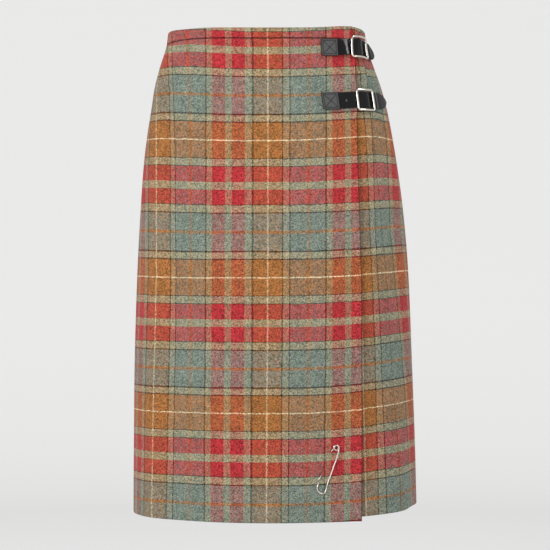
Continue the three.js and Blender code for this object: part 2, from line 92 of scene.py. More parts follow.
def build_studio():
    camera = bpy.data.cameras.new("camera")
    camera.lens = CAMERA_LENS
    camera.sensor_width = SENSOR
    camera.dof.use_dof = False
    stand = bpy.data.objects.new("camera", camera)
    stand.location = CAMERA_AT
    stand.rotation_euler = (math.radians(90), 0, 0)
    bpy.context.collection.objects.link(stand)
    bpy.context.scene.camera = stand

    for name, place, target, width, power in SOFTBOXES:
        light = bpy.data.lights.new(name, "AREA")
        light.shape = "SQUARE"
        light.size = width
        light.energy = power
        box = bpy.data.objects.new(name, light)
        box.location = place
        box.rotation_euler = (Vector(target) - Vector(place)).to_track_quat("-Z", "Y").to_euler()
        bpy.context.collection.objects.link(box)

    world = bpy.data.worlds.new("studio")
    world.use_nodes = True
    world.node_tree.nodes["Background"].inputs["Color"].default_value = (1.0, 1.0, 1.0, 1.0)
    world.node_tree.nodes["Background"].inputs["Strength"].default_value = WORLD_STRENGTH
    bpy.context.scene.world = world
    bpy.context.scene.view_settings.view_transform = "Standard"

    # The sweep is a profile turned round: flat floor, a quarter round, then a wall
    floor = HEM - FLOOR_BELOW_HEM
    flat = SWEEP_RADIUS - SWEEP_CORNER
    profile = [(0.0, floor), (flat, floor)]
    for step in range(1, CORNER_STEPS + 1):
        turn = math.radians(90 * step / CORNER_STEPS)
        profile.append((flat + SWEEP_CORNER * math.sin(turn), floor + SWEEP_CORNER * (1 - math.cos(turn))))
    profile.append((SWEEP_RADIUS, SWEEP_HEIGHT))
    points = [(0.0, 0.0, floor)]
    faces = []
    for radius, level in profile[1:]:
        for step in range(SWEEP_SIDES):
            turn = 2 * math.pi * step / SWEEP_SIDES
            points.append((radius * math.cos(turn), radius * math.sin(turn), level))
    for step in range(SWEEP_SIDES):
        after = (step + 1) % SWEEP_SIDES
        faces.append((0, 1 + step, 1 + after))
        for ring in range(len(profile) - 2):
            low, high = 1 + ring * SWEEP_SIDES, 1 + (ring + 1) * SWEEP_SIDES
            faces.append((low + step, high + step, high + after, low + after))
    mesh = bpy.data.meshes.new("sweep")
    mesh.from_pydata(points, [], faces)
    mesh.shade_smooth()
    paper, tree, shader = material("paper")
    shader.inputs["Base Color"].default_value = (0.96, 0.96, 0.955, 1.0)
    shader.inputs["Roughness"].default_value = 0.9
    grain = put(tree, "ShaderNodeTexNoise", {"Vector": put(tree, "ShaderNodeTexCoord").outputs["Object"],
                                             "Scale": 240.0, "Detail": 2.0})
    relief = put(tree, "ShaderNodeBump", {"Height": grain.outputs["Fac"], "Strength": 0.04,
                                          "Distance": 0.001})
    tree.links.new(relief.outputs["Normal"], shader.inputs["Normal"])
    mesh.materials.append(paper)
    sweep = bpy.data.objects.new("sweep", mesh)
    # The room's light reaches the skirt through the paper
    sweep.visible_diffuse = False
    bpy.context.collection.objects.link(sweep)


build_studio()


# Over apron: the outer front panel, cut in one from a heavy wool tartan tweed in a 2/2 twill, pressed flat.
# Its left edge is sewn into the side seam, its right edge is turned under and hangs free, its hem is blind
# stitched. From here on sizes are in millimetres and degrees round from centre front; meshes are in metres.
MM = 0.001
CLOTH = 1.8
GAP = 0.3  # between two pieces at a seam
LAYER = CLOTH + 0.5  # of one apron over the other, with ease
BAND_HEIGHT = 14.6
FRONT_LENGTH = 667.5
SIDE_SEAM_ANGLE = -84.0
WAIST_RISE = 1.5
WAIST_DIP = 2.4
LAP_FULL_FROM = -20.0
HEM_TURN_UP = 40.0
HEM_FOLD = 1.5
EDGE_ROUND = 1.2  # how far in from an edge or seam the face rounds over
EDGE_SHARES = np.array([0.0, 0.12, 0.4, 1.0])  # of that, where the mesh has rows
EDGE_DEEP = 1.15  # how much of the face is turned in at a seam
EDGE_THIN = 0.25  # and of the back
SEAM_LAP = 0.4  # the turnings meet behind each seam
ROLL_WIDTH = 9.0  # the free edge is folded over its facing and stands a little proud
ROLL_HEIGHT = 1.3
# and the whole apron bends a little away from the cloth under it, less near the waist and straps
EDGE_STAND = [(-40, 0.0), (-62, 1.3), (-84, 0.0), (-116, 0.0), (-150, 1.8), (-280, 2.4), (-667, 2.4)]
EDGE_BEND = 14.0
EDGE_DRAWN_IN = 0.75  # the bend draws the edge in by this share of how far it stands out
WIDTH_READ_AT = np.array(-300.0)  # the level at which a piece's width is taken for its mesh
ARC_STEPS = 49


def table(columns, *rows):
    """Rows of a table, each with its values named by the columns."""
    return [dict(zip(columns.split(), row)) for row in rows]


SECTIONS = table(
    "level middle_x middle_y half front back",
    (6, 0.2, -15, 136.2, 72, 107),
    (0, 0.2, -15, 137, 73, 108),
    (-20, 0.3, -14, 140, 76, 111),
    (-50, 0.7, -11, 150, 82, 117),
    (-78, 2.2, -8, 158.6, 91, 124),
    (-106, 3.8, -5, 164.6, 99, 130),
    (-141, 4.5, -3, 171, 107, 135),
    (-183, 5.2, -1, 177.2, 115, 138),
    (-246, 6.8, 0, 183.3, 127, 139),
    (-344, 8.9, 0, 189.9, 143, 139),
    (-456, 9.6, 0, 193.9, 149, 141),
    (-568, 11.2, 0, 196.6, 151, 144),
    (-680, 12.4, 0, 198.4, 152, 147),
)
OPENING_EDGE = table(
    "level angle",
    (6, 58.8),
    (-37, 55.8),
    (-65, 51.1),
    (-141, 44.1),
    (-274, 39.9),
    (-442, 37.9),
    (-680, 35.6),
)
# The folds that the solids have: angle, half width, the levels where each starts and is full, height
FOLDS = table(
    "angle spread starts full height",
    (57, 9, -430, -640, 4.5),
    (75, 8, -470, -660, -2.5),
    (-38, 10, -60, -330, -2.2),
    (-58, 9, -180, -420, 1.8),
    (18, 12, -380, -660, -1.8),
    (113, 10, -210, -640, 3.8),
    (136, 12, -170, -600, -4.2),
    (158, 11, -230, -650, 4.6),
    (188, 12, -190, -660, -3.4),
    (212, 11, -160, -620, 4.2),
    (236, 10, -260, -650, -3.6),
    (254, 8, -330, -660, 2.4),
)
# Small creases that only the cloth here has. Reach is down the cloth, lean is in degrees for 100 mm
CREASES = table(
    "angle spread level reach lean height",
    (58, 3.5, -61, 24, 0, 2.4),
    (50, 4, -63, 24, 0, -0.8),
    (-62, 6, -70, 60, 6, -0.7),
    (-20, 9, -110, 90, -4, -0.6),
    (24, 7, -170, 90, 5, 0.7),
    (38, 5, -130, 70, 8, -0.8),
    (-48, 8, -300, 120, 3, 0.8),
    (2, 10, -420, 150, -3, -0.9),
    (-25, 8, -560, 120, 2, 1.0),
    (30, 6, -500, 150, -2, 0.9),
    (66, 5, -330, 120, 3, -0.9),
    (84, 6, -250, 140, -5, 1.2),
    (104, 6, -130, 80, 9, -1.2),
    (126, 6, -90, 60, 12, 1.0),
    (171, 8, -150, 90, -3, -1.3),
    (200, 7, -120, 80, 6, 1.1),
    (226, 7, -200, 110, -6, -1.2),
    (246, 6, -110, 80, -9, 1.0),
    (268, 6, -240, 120, 4, -0.9),
)

# Thread counts of the tartan, from one cream line to the next
WARP = [("cream", 3), ("gold", 33), ("dark", 4), ("green", 14), ("dark", 4), ("blue", 41), ("ochre", 7),
        ("blue", 40), ("dark", 3), ("green", 16), ("red", 34), ("green", 16), ("red", 34), ("green", 17),
        ("dark", 4), ("gold", 34)]
WEFT = [("cream", 2), ("gold", 41), ("dark", 3), ("green", 16), ("dark", 3), ("red", 35), ("green", 18),
        ("red", 35), ("dark", 3), ("green", 16), ("dark", 3), ("blue", 41), ("ochre", 7), ("blue", 42),
        ("dark", 3), ("green", 16), ("dark", 3), ("gold", 41)]
WARP_PITCH = 0.5408  # between yarns
WEFT_PITCH = 0.5576
FIRST_CREAM_WEFT = 154.9  # down from the top edge at centre front
# both counts start at one side of a cream line, this far from its middle
FIRST_YARNS = (WARP[0][1] / 2 * WARP_PITCH, WEFT[0][1] / 2 * WEFT_PITCH)
YARN = {
    "cream": (0.70, 0.54, 0.32),
    "gold": (0.288, 0.117, 0.033),
    "ochre": (0.27, 0.13, 0.052),
    "dark": (0.016, 0.010, 0.008),
    "green": (0.280, 0.255, 0.157),
    "blue": (0.152, 0.190, 0.157),
    "red": (0.352, 0.027, 0.032),
}
YARN_DROP = 0.8  # how much lower a yarn is at its sides than in its middle
WARP_SHOWS_ABOVE = 0.64  # of a yarn's height
DARK_YARN = 0.05  # a darker yarn is one of the harder twisted guard lines
DARK_WARP_STANDS = 0.6  # how much more of such a warp shows
FLECK_LENGTH = 1.6  # of one tuft of colour along a yarn
FLECK_YARNS = 2.0  # side by side, that share a tuft
FLECK_SHIFT = 0.37  # of a tuft, from one group of yarns to the next
# how much of the cloth's light varies with each, and what is always there
FLECKS = (1.3, 0.40)
# painted shade in the hollows between the yarns, darker where a yarn lies lower
PAINTED_HOLLOW_SHADE = (0.34, 0.66)
CLOUDS = (0.36, 0.83)
FLECK_TINT = 0.14
WANDER = 1.6  # how far the yarns stray from straight, side to side
# half widths and lights of the painted shade lines along the over apron's free edge, for the shade in the gap
# under it, and along seams, for the shade in their grooves
PAINTED_EDGE_SHADE_AT = 0.4  # how far in from the edge
PAINTED_EDGE_SHADE = (0.9, 0.36)
PAINTED_SEAM_SHADE = (0.6, 0.36)
CLEAR_OF_SEAMS = 99.0

# How the cloth's grain lies. Arc lengths round from the centre cream line, at each level, of stripes of the
# warp that are known by their own place in the cloth; and how far its weft lines rise at each side.
OVER_STRIPES = {
    "places": (-164.4, -144.4, -135.2, -86.0, 0.0, 79.0),
    "rows": [
        (0, (-196, -166, -147.6, -86, 0, 80.9)),
        (-45, (-182, -150.5, -141.9, -86, 0, 80.0)),
        (-86, (-176.5, -143.8, -137.3, -85.9, 0, 79.9)),
        (-168, (-170.2, -141.0, -133.4, -85.8, 0, 79.0)),
        (-338, (-167.0, -140.4, -132.2, -86.0, 0, 78.3)),
        (-503, (-171.4, -143.4, -133.9, -85.9, 0, 78.0)),
        (-655, (-174.3, -146.4, -136.4, -85.9, 0, 77.8)),
    ],
}
# The centre cream line hangs nearly plumb and swings a little to the left below the hip
CREAM_LINE = [(0, 1.0), (-40, 2.0), (-300, 2.2), (-423, 1.8), (-505, 0.9), (-667, 0.4)]
LEFT_RISE = [(0, 7.0), (-155, 6.2), (-242, 5.2), (-339, 2.0), (-425, 0.2), (-520, -1.0), (-667, -1.3)]
LEFT_RISE_STARTS = [(-60, -5), (-200, -14), (-340, -30)]
LEFT_RISE_ENDS = [(-60, -60), (-250, -76)]
RIGHT_RISE = [(0, 7.4), (-155, 8.5), (-339, 10.2), (-425, 12.0), (-520, 12.7), (-617, 11.0), (-667, 10.5)]
RIGHT_RISE_STARTS = 5
RIGHT_RISE_ENDS = [(-60, 66), (-155, 60), (-242, 73), (-340, 85)]
# The wefts lie a little lower than their count says where the cloth was pressed over the hip
DRIFT = [(0, -1.0), (-110, -0.6), (-150, 0.0), (-190, 0.6), (-242, 1.9), (-315, 2.4), (-440, 2.8),
         (-490, 1.4), (-521, 0.6), (-545, 0.0)]


def smooth(start, end, value):
    part = np.clip((value - start) / (end - start), 0.0, 1.0)
    return part * part * (3 - 2 * part)


def mix(first, second, part):
    return first + (second - first) * part


def bump(distance, spread):
    """A round hill, 1 at no distance and 0 beyond twice its spread."""
    return np.where(np.abs(distance) < 2 * spread, np.cos(distance / spread * (math.pi / 4)) ** 2, 0.0)


def read_table(rows, key, level):
    """A smooth curve through a table's rows, read at each level."""
    levels = np.array([row["level"] for row in rows], float)
    values = np.array([row[key] for row in rows], float)
    index = np.arange(len(rows))
    above, below = np.maximum(index - 1, 0), np.minimum(index + 1, len(rows) - 1)
    slopes = (values[above] - values[below]) / (levels[above] - levels[below])
    at = np.clip(level, levels[-1], levels[0])
    row = np.clip(np.searchsorted(-levels, -at, side="right") - 1, 0, len(rows) - 2)
    step = levels[row + 1] - levels[row]
    part = (at - levels[row]) / step
    square, cube = part ** 2, part ** 3
    return ((2 * cube - 3 * square + 1) * values[row] + (cube - 2 * square + part) * step * slopes[row]
            + (3 * square - 2 * cube) * values[row + 1] + (cube - square) * step * slopes[row + 1])


def read_pairs(pairs, level):
    """Straight lines between pairs of level and value."""
    levels, values = zip(*pairs)
    return np.interp(-level, -np.array(levels, float), np.array(values, float))


def fold_height(angle, level):
    height = np.zeros(np.broadcast(angle, level).shape)
    for fold in FOLDS:
        height += (fold["height"] * bump(angle - fold["angle"], fold["spread"])
                   * smooth(fold["starts"], fold["full"], level))
    for crease in CREASES:
        middle = crease["angle"] + crease["lean"] * (level - crease["level"]) / 100
        height += (crease["height"] * bump(angle - middle, crease["spread"])
                   * bump(level - crease["level"], crease["reach"] / 2))
    return height


def ellipse_at(angle, level):
    """The section's half width and depth on the side that the angle is on."""
    half = read_table(SECTIONS, "half", level)
    depth = np.where(np.cos(np.radians(angle)) > 0, read_table(SECTIONS, "front", level),
                     read_table(SECTIONS, "back", level))
    return half, depth


def skirt_point(angle, level, out):
    """A point of the skirt at a distance out from its base face, in millimetres."""
    angle, level, out = np.broadcast_arrays(np.asarray(angle, float), level, out)
    half, depth = ellipse_at(angle, level)
    turn = np.radians(angle)
    normal_x, normal_y = np.sin(turn) / half, -np.cos(turn) / depth
    size = np.hypot(normal_x, normal_y)
    distance = out + fold_height(angle, level)
    return np.stack([
        read_table(SECTIONS, "middle_x", level) + half * np.sin(turn) + distance * normal_x / size,
        read_table(SECTIONS, "middle_y", level) - depth * np.cos(turn) + distance * normal_y / size,
        level,
    ], axis=-1)


def degrees_for(length, angle, level):
    """Degrees that a length along the cloth takes up."""
    half, depth = ellipse_at(angle, level)
    turn = np.radians(angle)
    return np.degrees(length / np.hypot(half * np.cos(turn), depth * np.sin(turn)))


def arc_length(angle, level):
    """Length round the skirt from centre front."""
    half = read_table(SECTIONS, "half", level)[..., None]
    front = read_table(SECTIONS, "front", level)[..., None]
    back = read_table(SECTIONS, "back", level)[..., None]
    turn = np.radians(angle)[..., None] * np.linspace(0, 1, ARC_STEPS)
    speed = np.hypot(half * np.cos(turn), np.where(np.cos(turn) > 0, front, back) * np.sin(turn))
    return ((speed[..., 1:] + speed[..., :-1]) / 2 * np.diff(turn)).sum(axis=-1)


def free_edge(level):
    """The over apron's free edge, drawn in by as much as its bend carries it outward."""
    edge = read_table(OPENING_EDGE, "angle", level)
    return edge - degrees_for(EDGE_DRAWN_IN * read_pairs(EDGE_STAND, level), edge, level)


def past_edge(angle, level):
    """Length along the cloth from the over apron's free edge to a point to its right."""
    edge = free_edge(level)
    return (angle - edge) / degrees_for(1.0, edge, level)


def lap_out(angle):
    """How far the over apron lies out from the side seam's surface, to clear the apron under it."""
    return LAYER * smooth(SIDE_SEAM_ANGLE, LAP_FULL_FROM, angle)


def over_out(angle, level):
    return lap_out(angle) + read_pairs(EDGE_STAND, level) * smooth(-EDGE_BEND, 0, past_edge(angle, level))


def seam_level(angle):
    return (WAIST_RISE * np.sin(np.radians(2 * angle)) ** 2 - WAIST_DIP * np.sin(np.radians(angle)) ** 8
            - BAND_HEIGHT)


def panel_top(angle):
    return seam_level(angle) - GAP


def front_of_left_seam(level):
    return SIDE_SEAM_ANGLE + degrees_for(GAP / 2, SIDE_SEAM_ANGLE, level)


def from_cream_line(angle, level):
    """Length round the skirt from the centre cream line."""
    return arc_length(angle, level) + read_table(SECTIONS, "middle_x", level) - read_pairs(CREAM_LINE, level)


def along_stripes(angle, level, stripes):
    """Place in the cloth's width, from the stripes' known places."""
    arc = from_cream_line(angle, level)
    knots = [read_pairs([(row[0], row[1][index]) for row in stripes["rows"]], level)
             for index in range(len(stripes["places"]))]
    places = stripes["places"]
    result = places[0] + arc - knots[0]
    for index in range(1, len(places)):
        rate = (places[index] - places[index - 1]) / (knots[index] - knots[index - 1])
        result = np.where(arc > knots[index - 1], places[index - 1] + (arc - knots[index - 1]) * rate, result)
    return np.where(arc > knots[-1], places[-1] + arc - knots[-1], result)


def left_rise(angle, level):
    ramp = smooth(read_pairs(LEFT_RISE_STARTS, level), read_pairs(LEFT_RISE_ENDS, level), angle)
    return read_pairs(LEFT_RISE, level) * ramp


def right_rise(angle, level):
    ramp = smooth(RIGHT_RISE_STARTS, read_pairs(RIGHT_RISE_ENDS, level), angle)
    return read_pairs(RIGHT_RISE, level) * ramp


def front_down(angle, level):
    """Place in the cloth's length, from the top edge down."""
    return left_rise(angle, level) + right_rise(angle, level) - read_pairs(DRIFT, level) - level


def edge_steps(count, length):
    """Fractions of a length, close together at both ends so that the edges are round."""
    near = EDGE_SHARES * EDGE_ROUND / length
    return np.concatenate([near[:-1], np.linspace(near[-1], 1 - near[-1], count), 1 - near[-2::-1]])


def turned_in(distance, reach):
    """How much of its full depth a face is turned in, at a distance from an edge that is round for a reach."""
    near = 1 - np.clip(distance / reach, 0, 1)
    return 1 - np.sqrt(np.clip(1 - near ** 2, 0, 1))


def wall_faces(columns, rows):
    """Faces of a closed wall: its face, its back and its four edges."""
    grid = np.arange(columns * rows).reshape(columns, rows)
    back = grid + columns * rows
    quads = [
        (grid[:-1, :-1], grid[:-1, 1:], grid[1:, 1:], grid[1:, :-1]),
        (back[:-1, :-1], back[1:, :-1], back[1:, 1:], back[:-1, 1:]),
        (grid[:-1, 0], grid[1:, 0], back[1:, 0], back[:-1, 0]),
        (grid[:-1, -1], back[:-1, -1], back[1:, -1], grid[1:, -1]),
        (grid[0, :-1], back[0, :-1], back[0, 1:], grid[0, 1:]),
        (grid[-1, :-1], grid[-1, 1:], back[-1, 1:], back[-1, :-1]),
    ]
    return np.concatenate([np.stack([corner.ravel() for corner in quad], axis=-1) for quad in quads])


def both_faces(value):
    return np.stack([value, value])


def make_piece(name, points, faces, cloth=None, values=None):
    """A smooth mesh from points in millimetres. Cloth is each point's place in the flat cloth, and values are
    named attributes of the points that the material reads."""
    mesh = bpy.data.meshes.new(name)
    mesh.from_pydata((points.reshape(-1, 3) * MM).tolist(), [], [list(face) for face in faces])
    if cloth is not None:
        layer = mesh.uv_layers.new(name="Cloth")
        corners = np.empty(len(mesh.loops), int)
        mesh.loops.foreach_get("vertex_index", corners)
        layer.data.foreach_set("uv", (cloth.reshape(-1, 2)[corners] * MM).ravel())
    for attribute, value in (values or {}).items():
        mesh.attributes.new(attribute, "FLOAT", "POINT").data.foreach_set("value", value.ravel())
    mesh.shade_smooth()
    piece = bpy.data.objects.new(name, mesh)
    bpy.context.collection.objects.link(piece)
    return piece


def cloth_piece(name, start, end, top, bottom, out, stripes, in_length, columns, rows, seams, lines,
                turn_up=0.0, roll=0.0):
    """A cut piece between two edges that run down it and a top and a bottom line. Its stripes say where each
    point lies in the width of the flat cloth, and in_length where in its length, in millimetres.

    Seams names the edges that are sewn, by their first letters: s, e, t and b. Lines names those of them that
    get a painted shade line, for the shade in the seam's groove."""
    first, last = (arc_length(edge(WIDTH_READ_AT), WIDTH_READ_AT) for edge in (start, end))
    width = abs(last - first)
    across = edge_steps(columns, width)[:, None]

    def angle_at(level):
        return mix(start(level), end(level), across)

    def turned_behind(edge, there):
        return np.where(there & (edge in seams), SEAM_LAP, 0.0)

    high, low = top(angle_at(top(np.zeros(1)))), bottom(angle_at(bottom(np.zeros(1))))
    down = edge_steps(rows, float(np.mean(high - low)))[None, :]
    level = mix(high, low, down)
    angle = angle_at(level)
    from_side = np.minimum(across, 1 - across) * width
    from_end = np.minimum(high - level, level - low)
    inset = turned_in(np.minimum(from_side, from_end), EDGE_ROUND)
    hem = turn_up * smooth(HEM_TURN_UP, HEM_TURN_UP - HEM_FOLD, level - low)
    rolled = roll * smooth(ROLL_WIDTH, 0, (1 - across) * width)
    lies = out(angle, level)
    face = skirt_point(angle, level, lies + rolled - EDGE_DEEP * inset)
    lap = turned_behind("e", across == 1) - turned_behind("s", across == 0)
    drop = turned_behind("t", down == 0) - turned_behind("b", down == 1)
    back_angle, back_level = angle + degrees_for(lap, angle, level), level + drop
    back = skirt_point(back_angle, back_level, lies - CLOTH + EDGE_THIN * inset - hem)
    # distances at which the material draws painted shade: past the free edge, and from the seams named in
    # lines
    from_edge = {"s": across * width, "e": (1 - across) * width, "t": high - level, "b": level - low}
    from_seam = np.full(angle.shape, CLEAR_OF_SEAMS)
    for edge in lines:
        from_seam = np.minimum(from_seam, from_edge[edge])
    cloth = np.stack([along_stripes(angle, level, stripes), in_length(angle, level)], axis=-1)
    return make_piece(name, np.stack([face, back]), wall_faces(*angle.shape), both_faces(cloth),
                      {"beside": both_faces(past_edge(angle, level)), "from_seam": both_faces(from_seam)})


def stripe_ramp(tree, counts, place):
    """The colour of the yarn at a place in the sett, from the thread count."""
    total = sum(count for _, count in counts)
    ramp = put(tree, "ShaderNodeValToRGB", {"Fac": place})
    ramp.color_ramp.interpolation = "CONSTANT"
    passed = 0
    for index, (name, count) in enumerate(counts):
        if index == 0:
            stop = ramp.color_ramp.elements[0]
        elif index == 1:
            stop = ramp.color_ramp.elements[1]
        else:
            stop = ramp.color_ramp.elements.new(1.0)
        stop.position = passed / total
        stop.color = (*YARN[name], 1.0)
        passed += count
    return ramp.outputs["Color"]


def yarn_system(tree, coordinate, along, pitch, counts, offset, seed):
    """One set of yarns: its number, its colour with flecks, and its round height."""
    place = maths(tree, "DIVIDE", maths(tree, "SUBTRACT", coordinate, offset * MM), pitch * MM)
    number = maths(tree, "FLOOR", place)
    total = sum(count for _, count in counts)
    in_sett = maths(tree, "FRACT", maths(tree, "DIVIDE", maths(tree, "ADD", number, 0.5), float(total)))
    colour = stripe_ramp(tree, counts, in_sett)
    group = maths(tree, "FLOOR", maths(tree, "DIVIDE", number, FLECK_YARNS))
    tuft = maths(tree, "DIVIDE", along, FLECK_LENGTH * MM)
    tuft = maths(tree, "FLOOR", maths(tree, "ADD", tuft, maths(tree, "MULTIPLY", group, FLECK_SHIFT)))
    cell = put(tree, "ShaderNodeCombineXYZ", {"X": group, "Y": tuft, "Z": seed})
    fleck = put(tree, "ShaderNodeTexWhiteNoise", {"Vector": cell.outputs[0]}, noise_dimensions="3D")
    value = maths(tree, "MULTIPLY_ADD", fleck.outputs["Value"], *FLECKS)
    tinted = put(tree, "ShaderNodeMix", {"Factor": FLECK_TINT, "A": colour, "B": fleck.outputs["Color"]},
                 data_type="RGBA", blend_type="OVERLAY")
    shade = put(tree, "ShaderNodeHueSaturation", {"Value": value, "Color": tinted.outputs["Result"]})
    inside = maths(tree, "SUBTRACT", maths(tree, "FRACT", place), 0.5)
    height = maths(tree, "MULTIPLY_ADD", maths(tree, "MULTIPLY", inside, inside), -4 * YARN_DROP, 1.0)
    return number, shade.outputs["Color"], height


def painted(tree, attribute):
    """What the mesh says of itself at each point, in the attribute of that name."""
    return put(tree, "ShaderNodeAttribute", attribute_name=attribute).outputs["Fac"]


def painted_shade_line(tree, distance, half, light):
    """Painted shade near a line: dark within its half width, unshaded again beyond twice that."""
    return put(tree, "ShaderNodeMapRange", {"Value": distance, "From Min": half, "From Max": 2 * half,
                                            "To Min": light, "To Max": 1.0}).outputs["Result"]


def tweed_material():
    """Wool tartan: two sets of heathered yarns that cross in a 2/2 twill, with a soft nap."""
    tweed, tree, shader = material("tweed")
    cloth = put(tree, "ShaderNodeUVMap", uv_map="Cloth")
    wander = put(tree, "ShaderNodeTexNoise", {"Vector": cloth.outputs[0], "Scale": 55.0, "Detail": 3.0})
    shifted = put(tree, "ShaderNodeVectorMath", {0: wander.outputs["Color"], 1: (0.5, 0.5, 0.5)},
                  operation="SUBTRACT")
    shifted = put(tree, "ShaderNodeVectorMath", {0: shifted.outputs[0], 1: (WANDER * MM, WANDER * MM, 0.0)},
                  operation="MULTIPLY")
    placed = put(tree, "ShaderNodeVectorMath", {0: cloth.outputs[0], 1: shifted.outputs[0]}, operation="ADD")
    parts = put(tree, "ShaderNodeSeparateXYZ", {"Vector": placed.outputs[0]})
    across, down = parts.outputs["X"], parts.outputs["Y"]
    warp, warp_colour, warp_height = yarn_system(tree, across, down, WARP_PITCH, WARP, -FIRST_YARNS[0], 1.0)
    weft, weft_colour, weft_height = yarn_system(tree, down, across, WEFT_PITCH, WEFT,
                                                 FIRST_CREAM_WEFT - FIRST_YARNS[1], 2.0)
    # a 2/2 twill: each yarn goes over two and under two, one further along than its neighbour
    step = maths(tree, "FRACT", maths(tree, "DIVIDE", maths(tree, "ADD", warp, weft), 4.0))
    # the wefts are beaten up over the edges of the warps
    guard_line = maths(tree, "LESS_THAN", warp_colour, DARK_YARN)
    shows_above = maths(tree, "MULTIPLY_ADD", guard_line, -DARK_WARP_STANDS, WARP_SHOWS_ABOVE)
    warp_shows = maths(tree, "MULTIPLY", maths(tree, "LESS_THAN", step, 0.5),
                       maths(tree, "GREATER_THAN", warp_height, shows_above))
    colour = put(tree, "ShaderNodeMix", {"Factor": warp_shows, "A": weft_colour, "B": warp_colour},
                 data_type="RGBA")
    height = put(tree, "ShaderNodeMix", {"Factor": warp_shows, "A": weft_height, "B": warp_height},
                 data_type="FLOAT").outputs["Result"]
    cloud = put(tree, "ShaderNodeTexNoise", {"Vector": cloth.outputs[0], "Scale": 38.0, "Detail": 4.0})
    # painted shade in a line along the over apron's free edge, where the apron stands off the cloth under it
    from_edge = maths(tree, "ABSOLUTE", maths(tree, "ADD", painted(tree, "beside"), PAINTED_EDGE_SHADE_AT))
    # painted shade in the hollows between the yarns
    light = maths(tree, "MULTIPLY_ADD", height, *PAINTED_HOLLOW_SHADE)
    # each part darkens the cloth: random clouds of tone, then painted shade lines along the free edge and the
    # seams
    for part in (maths(tree, "MULTIPLY_ADD", cloud.outputs["Fac"], *CLOUDS),
                 painted_shade_line(tree, from_edge, *PAINTED_EDGE_SHADE),
                 painted_shade_line(tree, painted(tree, "from_seam"), *PAINTED_SEAM_SHADE)):
        light = maths(tree, "MULTIPLY", light, part)
    shade = put(tree, "ShaderNodeHueSaturation", {"Value": light, "Color": colour.outputs["Result"]})
    tree.links.new(shade.outputs["Color"], shader.inputs["Base Color"])
    nap = put(tree, "ShaderNodeTexNoise", {"Vector": cloth.outputs[0], "Scale": 1500.0, "Detail": 3.0})
    relief = maths(tree, "ADD", height, maths(tree, "MULTIPLY", nap.outputs["Fac"], 0.8))
    woven = put(tree, "ShaderNodeBump", {"Height": relief, "Strength": 0.5, "Distance": 0.0002})
    tree.links.new(woven.outputs["Normal"], shader.inputs["Normal"])
    shader.inputs["Roughness"].default_value = 0.92
    shader.inputs["Specular IOR Level"].default_value = 0.15
    shader.inputs["Sheen Weight"].default_value = 0.12
    shader.inputs["Sheen Roughness"].default_value = 0.45
    shader.inputs["Sheen Tint"].default_value = (1.0, 0.93, 0.84, 1.0)
    return tweed


def finish_piece(piece, look, node):
    piece.data.materials.clear()
    piece.data.materials.append(look)
    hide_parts(node)
    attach(piece, "root")


TWEED = tweed_material()
OVER = dict(start=front_of_left_seam, end=free_edge, out=over_out, stripes=OVER_STRIPES, in_length=front_down)
over_apron = cloth_piece("over_apron_cloth", top=panel_top, bottom=lambda angle: -FRONT_LENGTH + 0 * angle,
                         columns=150, rows=190, seams="st", lines="st", roll=ROLL_HEIGHT, **OVER)
finish_piece(over_apron, TWEED, "over_apron")


# Under apron: the same tweed, a straight panel that laps under the over apron and is sewn at its right to the
# back panel with a shaped seam through a blue stripe. Its hem sits a little higher and is turned up inside.
UNDER_APRON_REACH = -34.0
HEM_RISE = (4.0, 12.0)  # under apron's and back's hem over the over apron's, at the lap and at the side
HEM_CLIMB = (15, 95)  # between these angles it rises from the one to the other
HEM_FALL = (95, 300)  # and between these it comes down behind
RIGHT_SEAM = table(
    "level angle",
    (6, 67.5),
    (-58, 63.9),
    (-144, 56.2),
    (-274, 54.4),
    (-442, 56.2),
    (-680, 58.4),
)
UNDER_STRIPES = {
    "places": (20.0, 29.2, 52.0),
    "rows": [
        (0, (128.8, 142.8, 172)),
        (-61, (134.0, 145.6, 170)),
        (-96, (137.3, 148.5, 169)),
        (-145, (142.0, 153.7, 173)),
        (-276, (147.0, 156.2, 178)),
        (-438, (155.0, 166.0, 194)),
        (-657, (160.0, 172.7, 205)),
    ],
}
UNDER_TUCK = 0.7  # the under apron sinks beside the free edge by this share of the edge's bend
UNDER_TUCK_AT = 1.0
UNDER_TUCK_WIDTH = 5.0
HEM_THICKER = 0.9  # where it is turned up


def raised_hem(angle):
    """The hem of the under apron and the back, highest at the right side."""
    return -FRONT_LENGTH + mix(*HEM_RISE, smooth(*HEM_CLIMB, angle)) - HEM_RISE[1] * smooth(*HEM_FALL, angle)


def under_out(angle, level):
    near = bump(past_edge(angle, level) - UNDER_TUCK_AT, UNDER_TUCK_WIDTH)
    return lap_out(angle) - LAYER - UNDER_TUCK * read_pairs(EDGE_STAND, level) * near


def right_seam(level):
    return read_table(RIGHT_SEAM, "angle", level)


def left_of_right_seam(level):
    return right_seam(level) - degrees_for(GAP / 2, right_seam(level), level)


def under_apron_edge(level):
    return UNDER_APRON_REACH + 0 * level


UNDER = dict(start=under_apron_edge, end=left_of_right_seam, out=under_out, stripes=UNDER_STRIPES,
             in_length=front_down)
under_apron = cloth_piece("under_apron_cloth", top=panel_top, bottom=raised_hem, columns=110, rows=170,
                          seams="et", lines="t", turn_up=HEM_THICKER, **UNDER)
finish_piece(under_apron, TWEED, "under_apron")


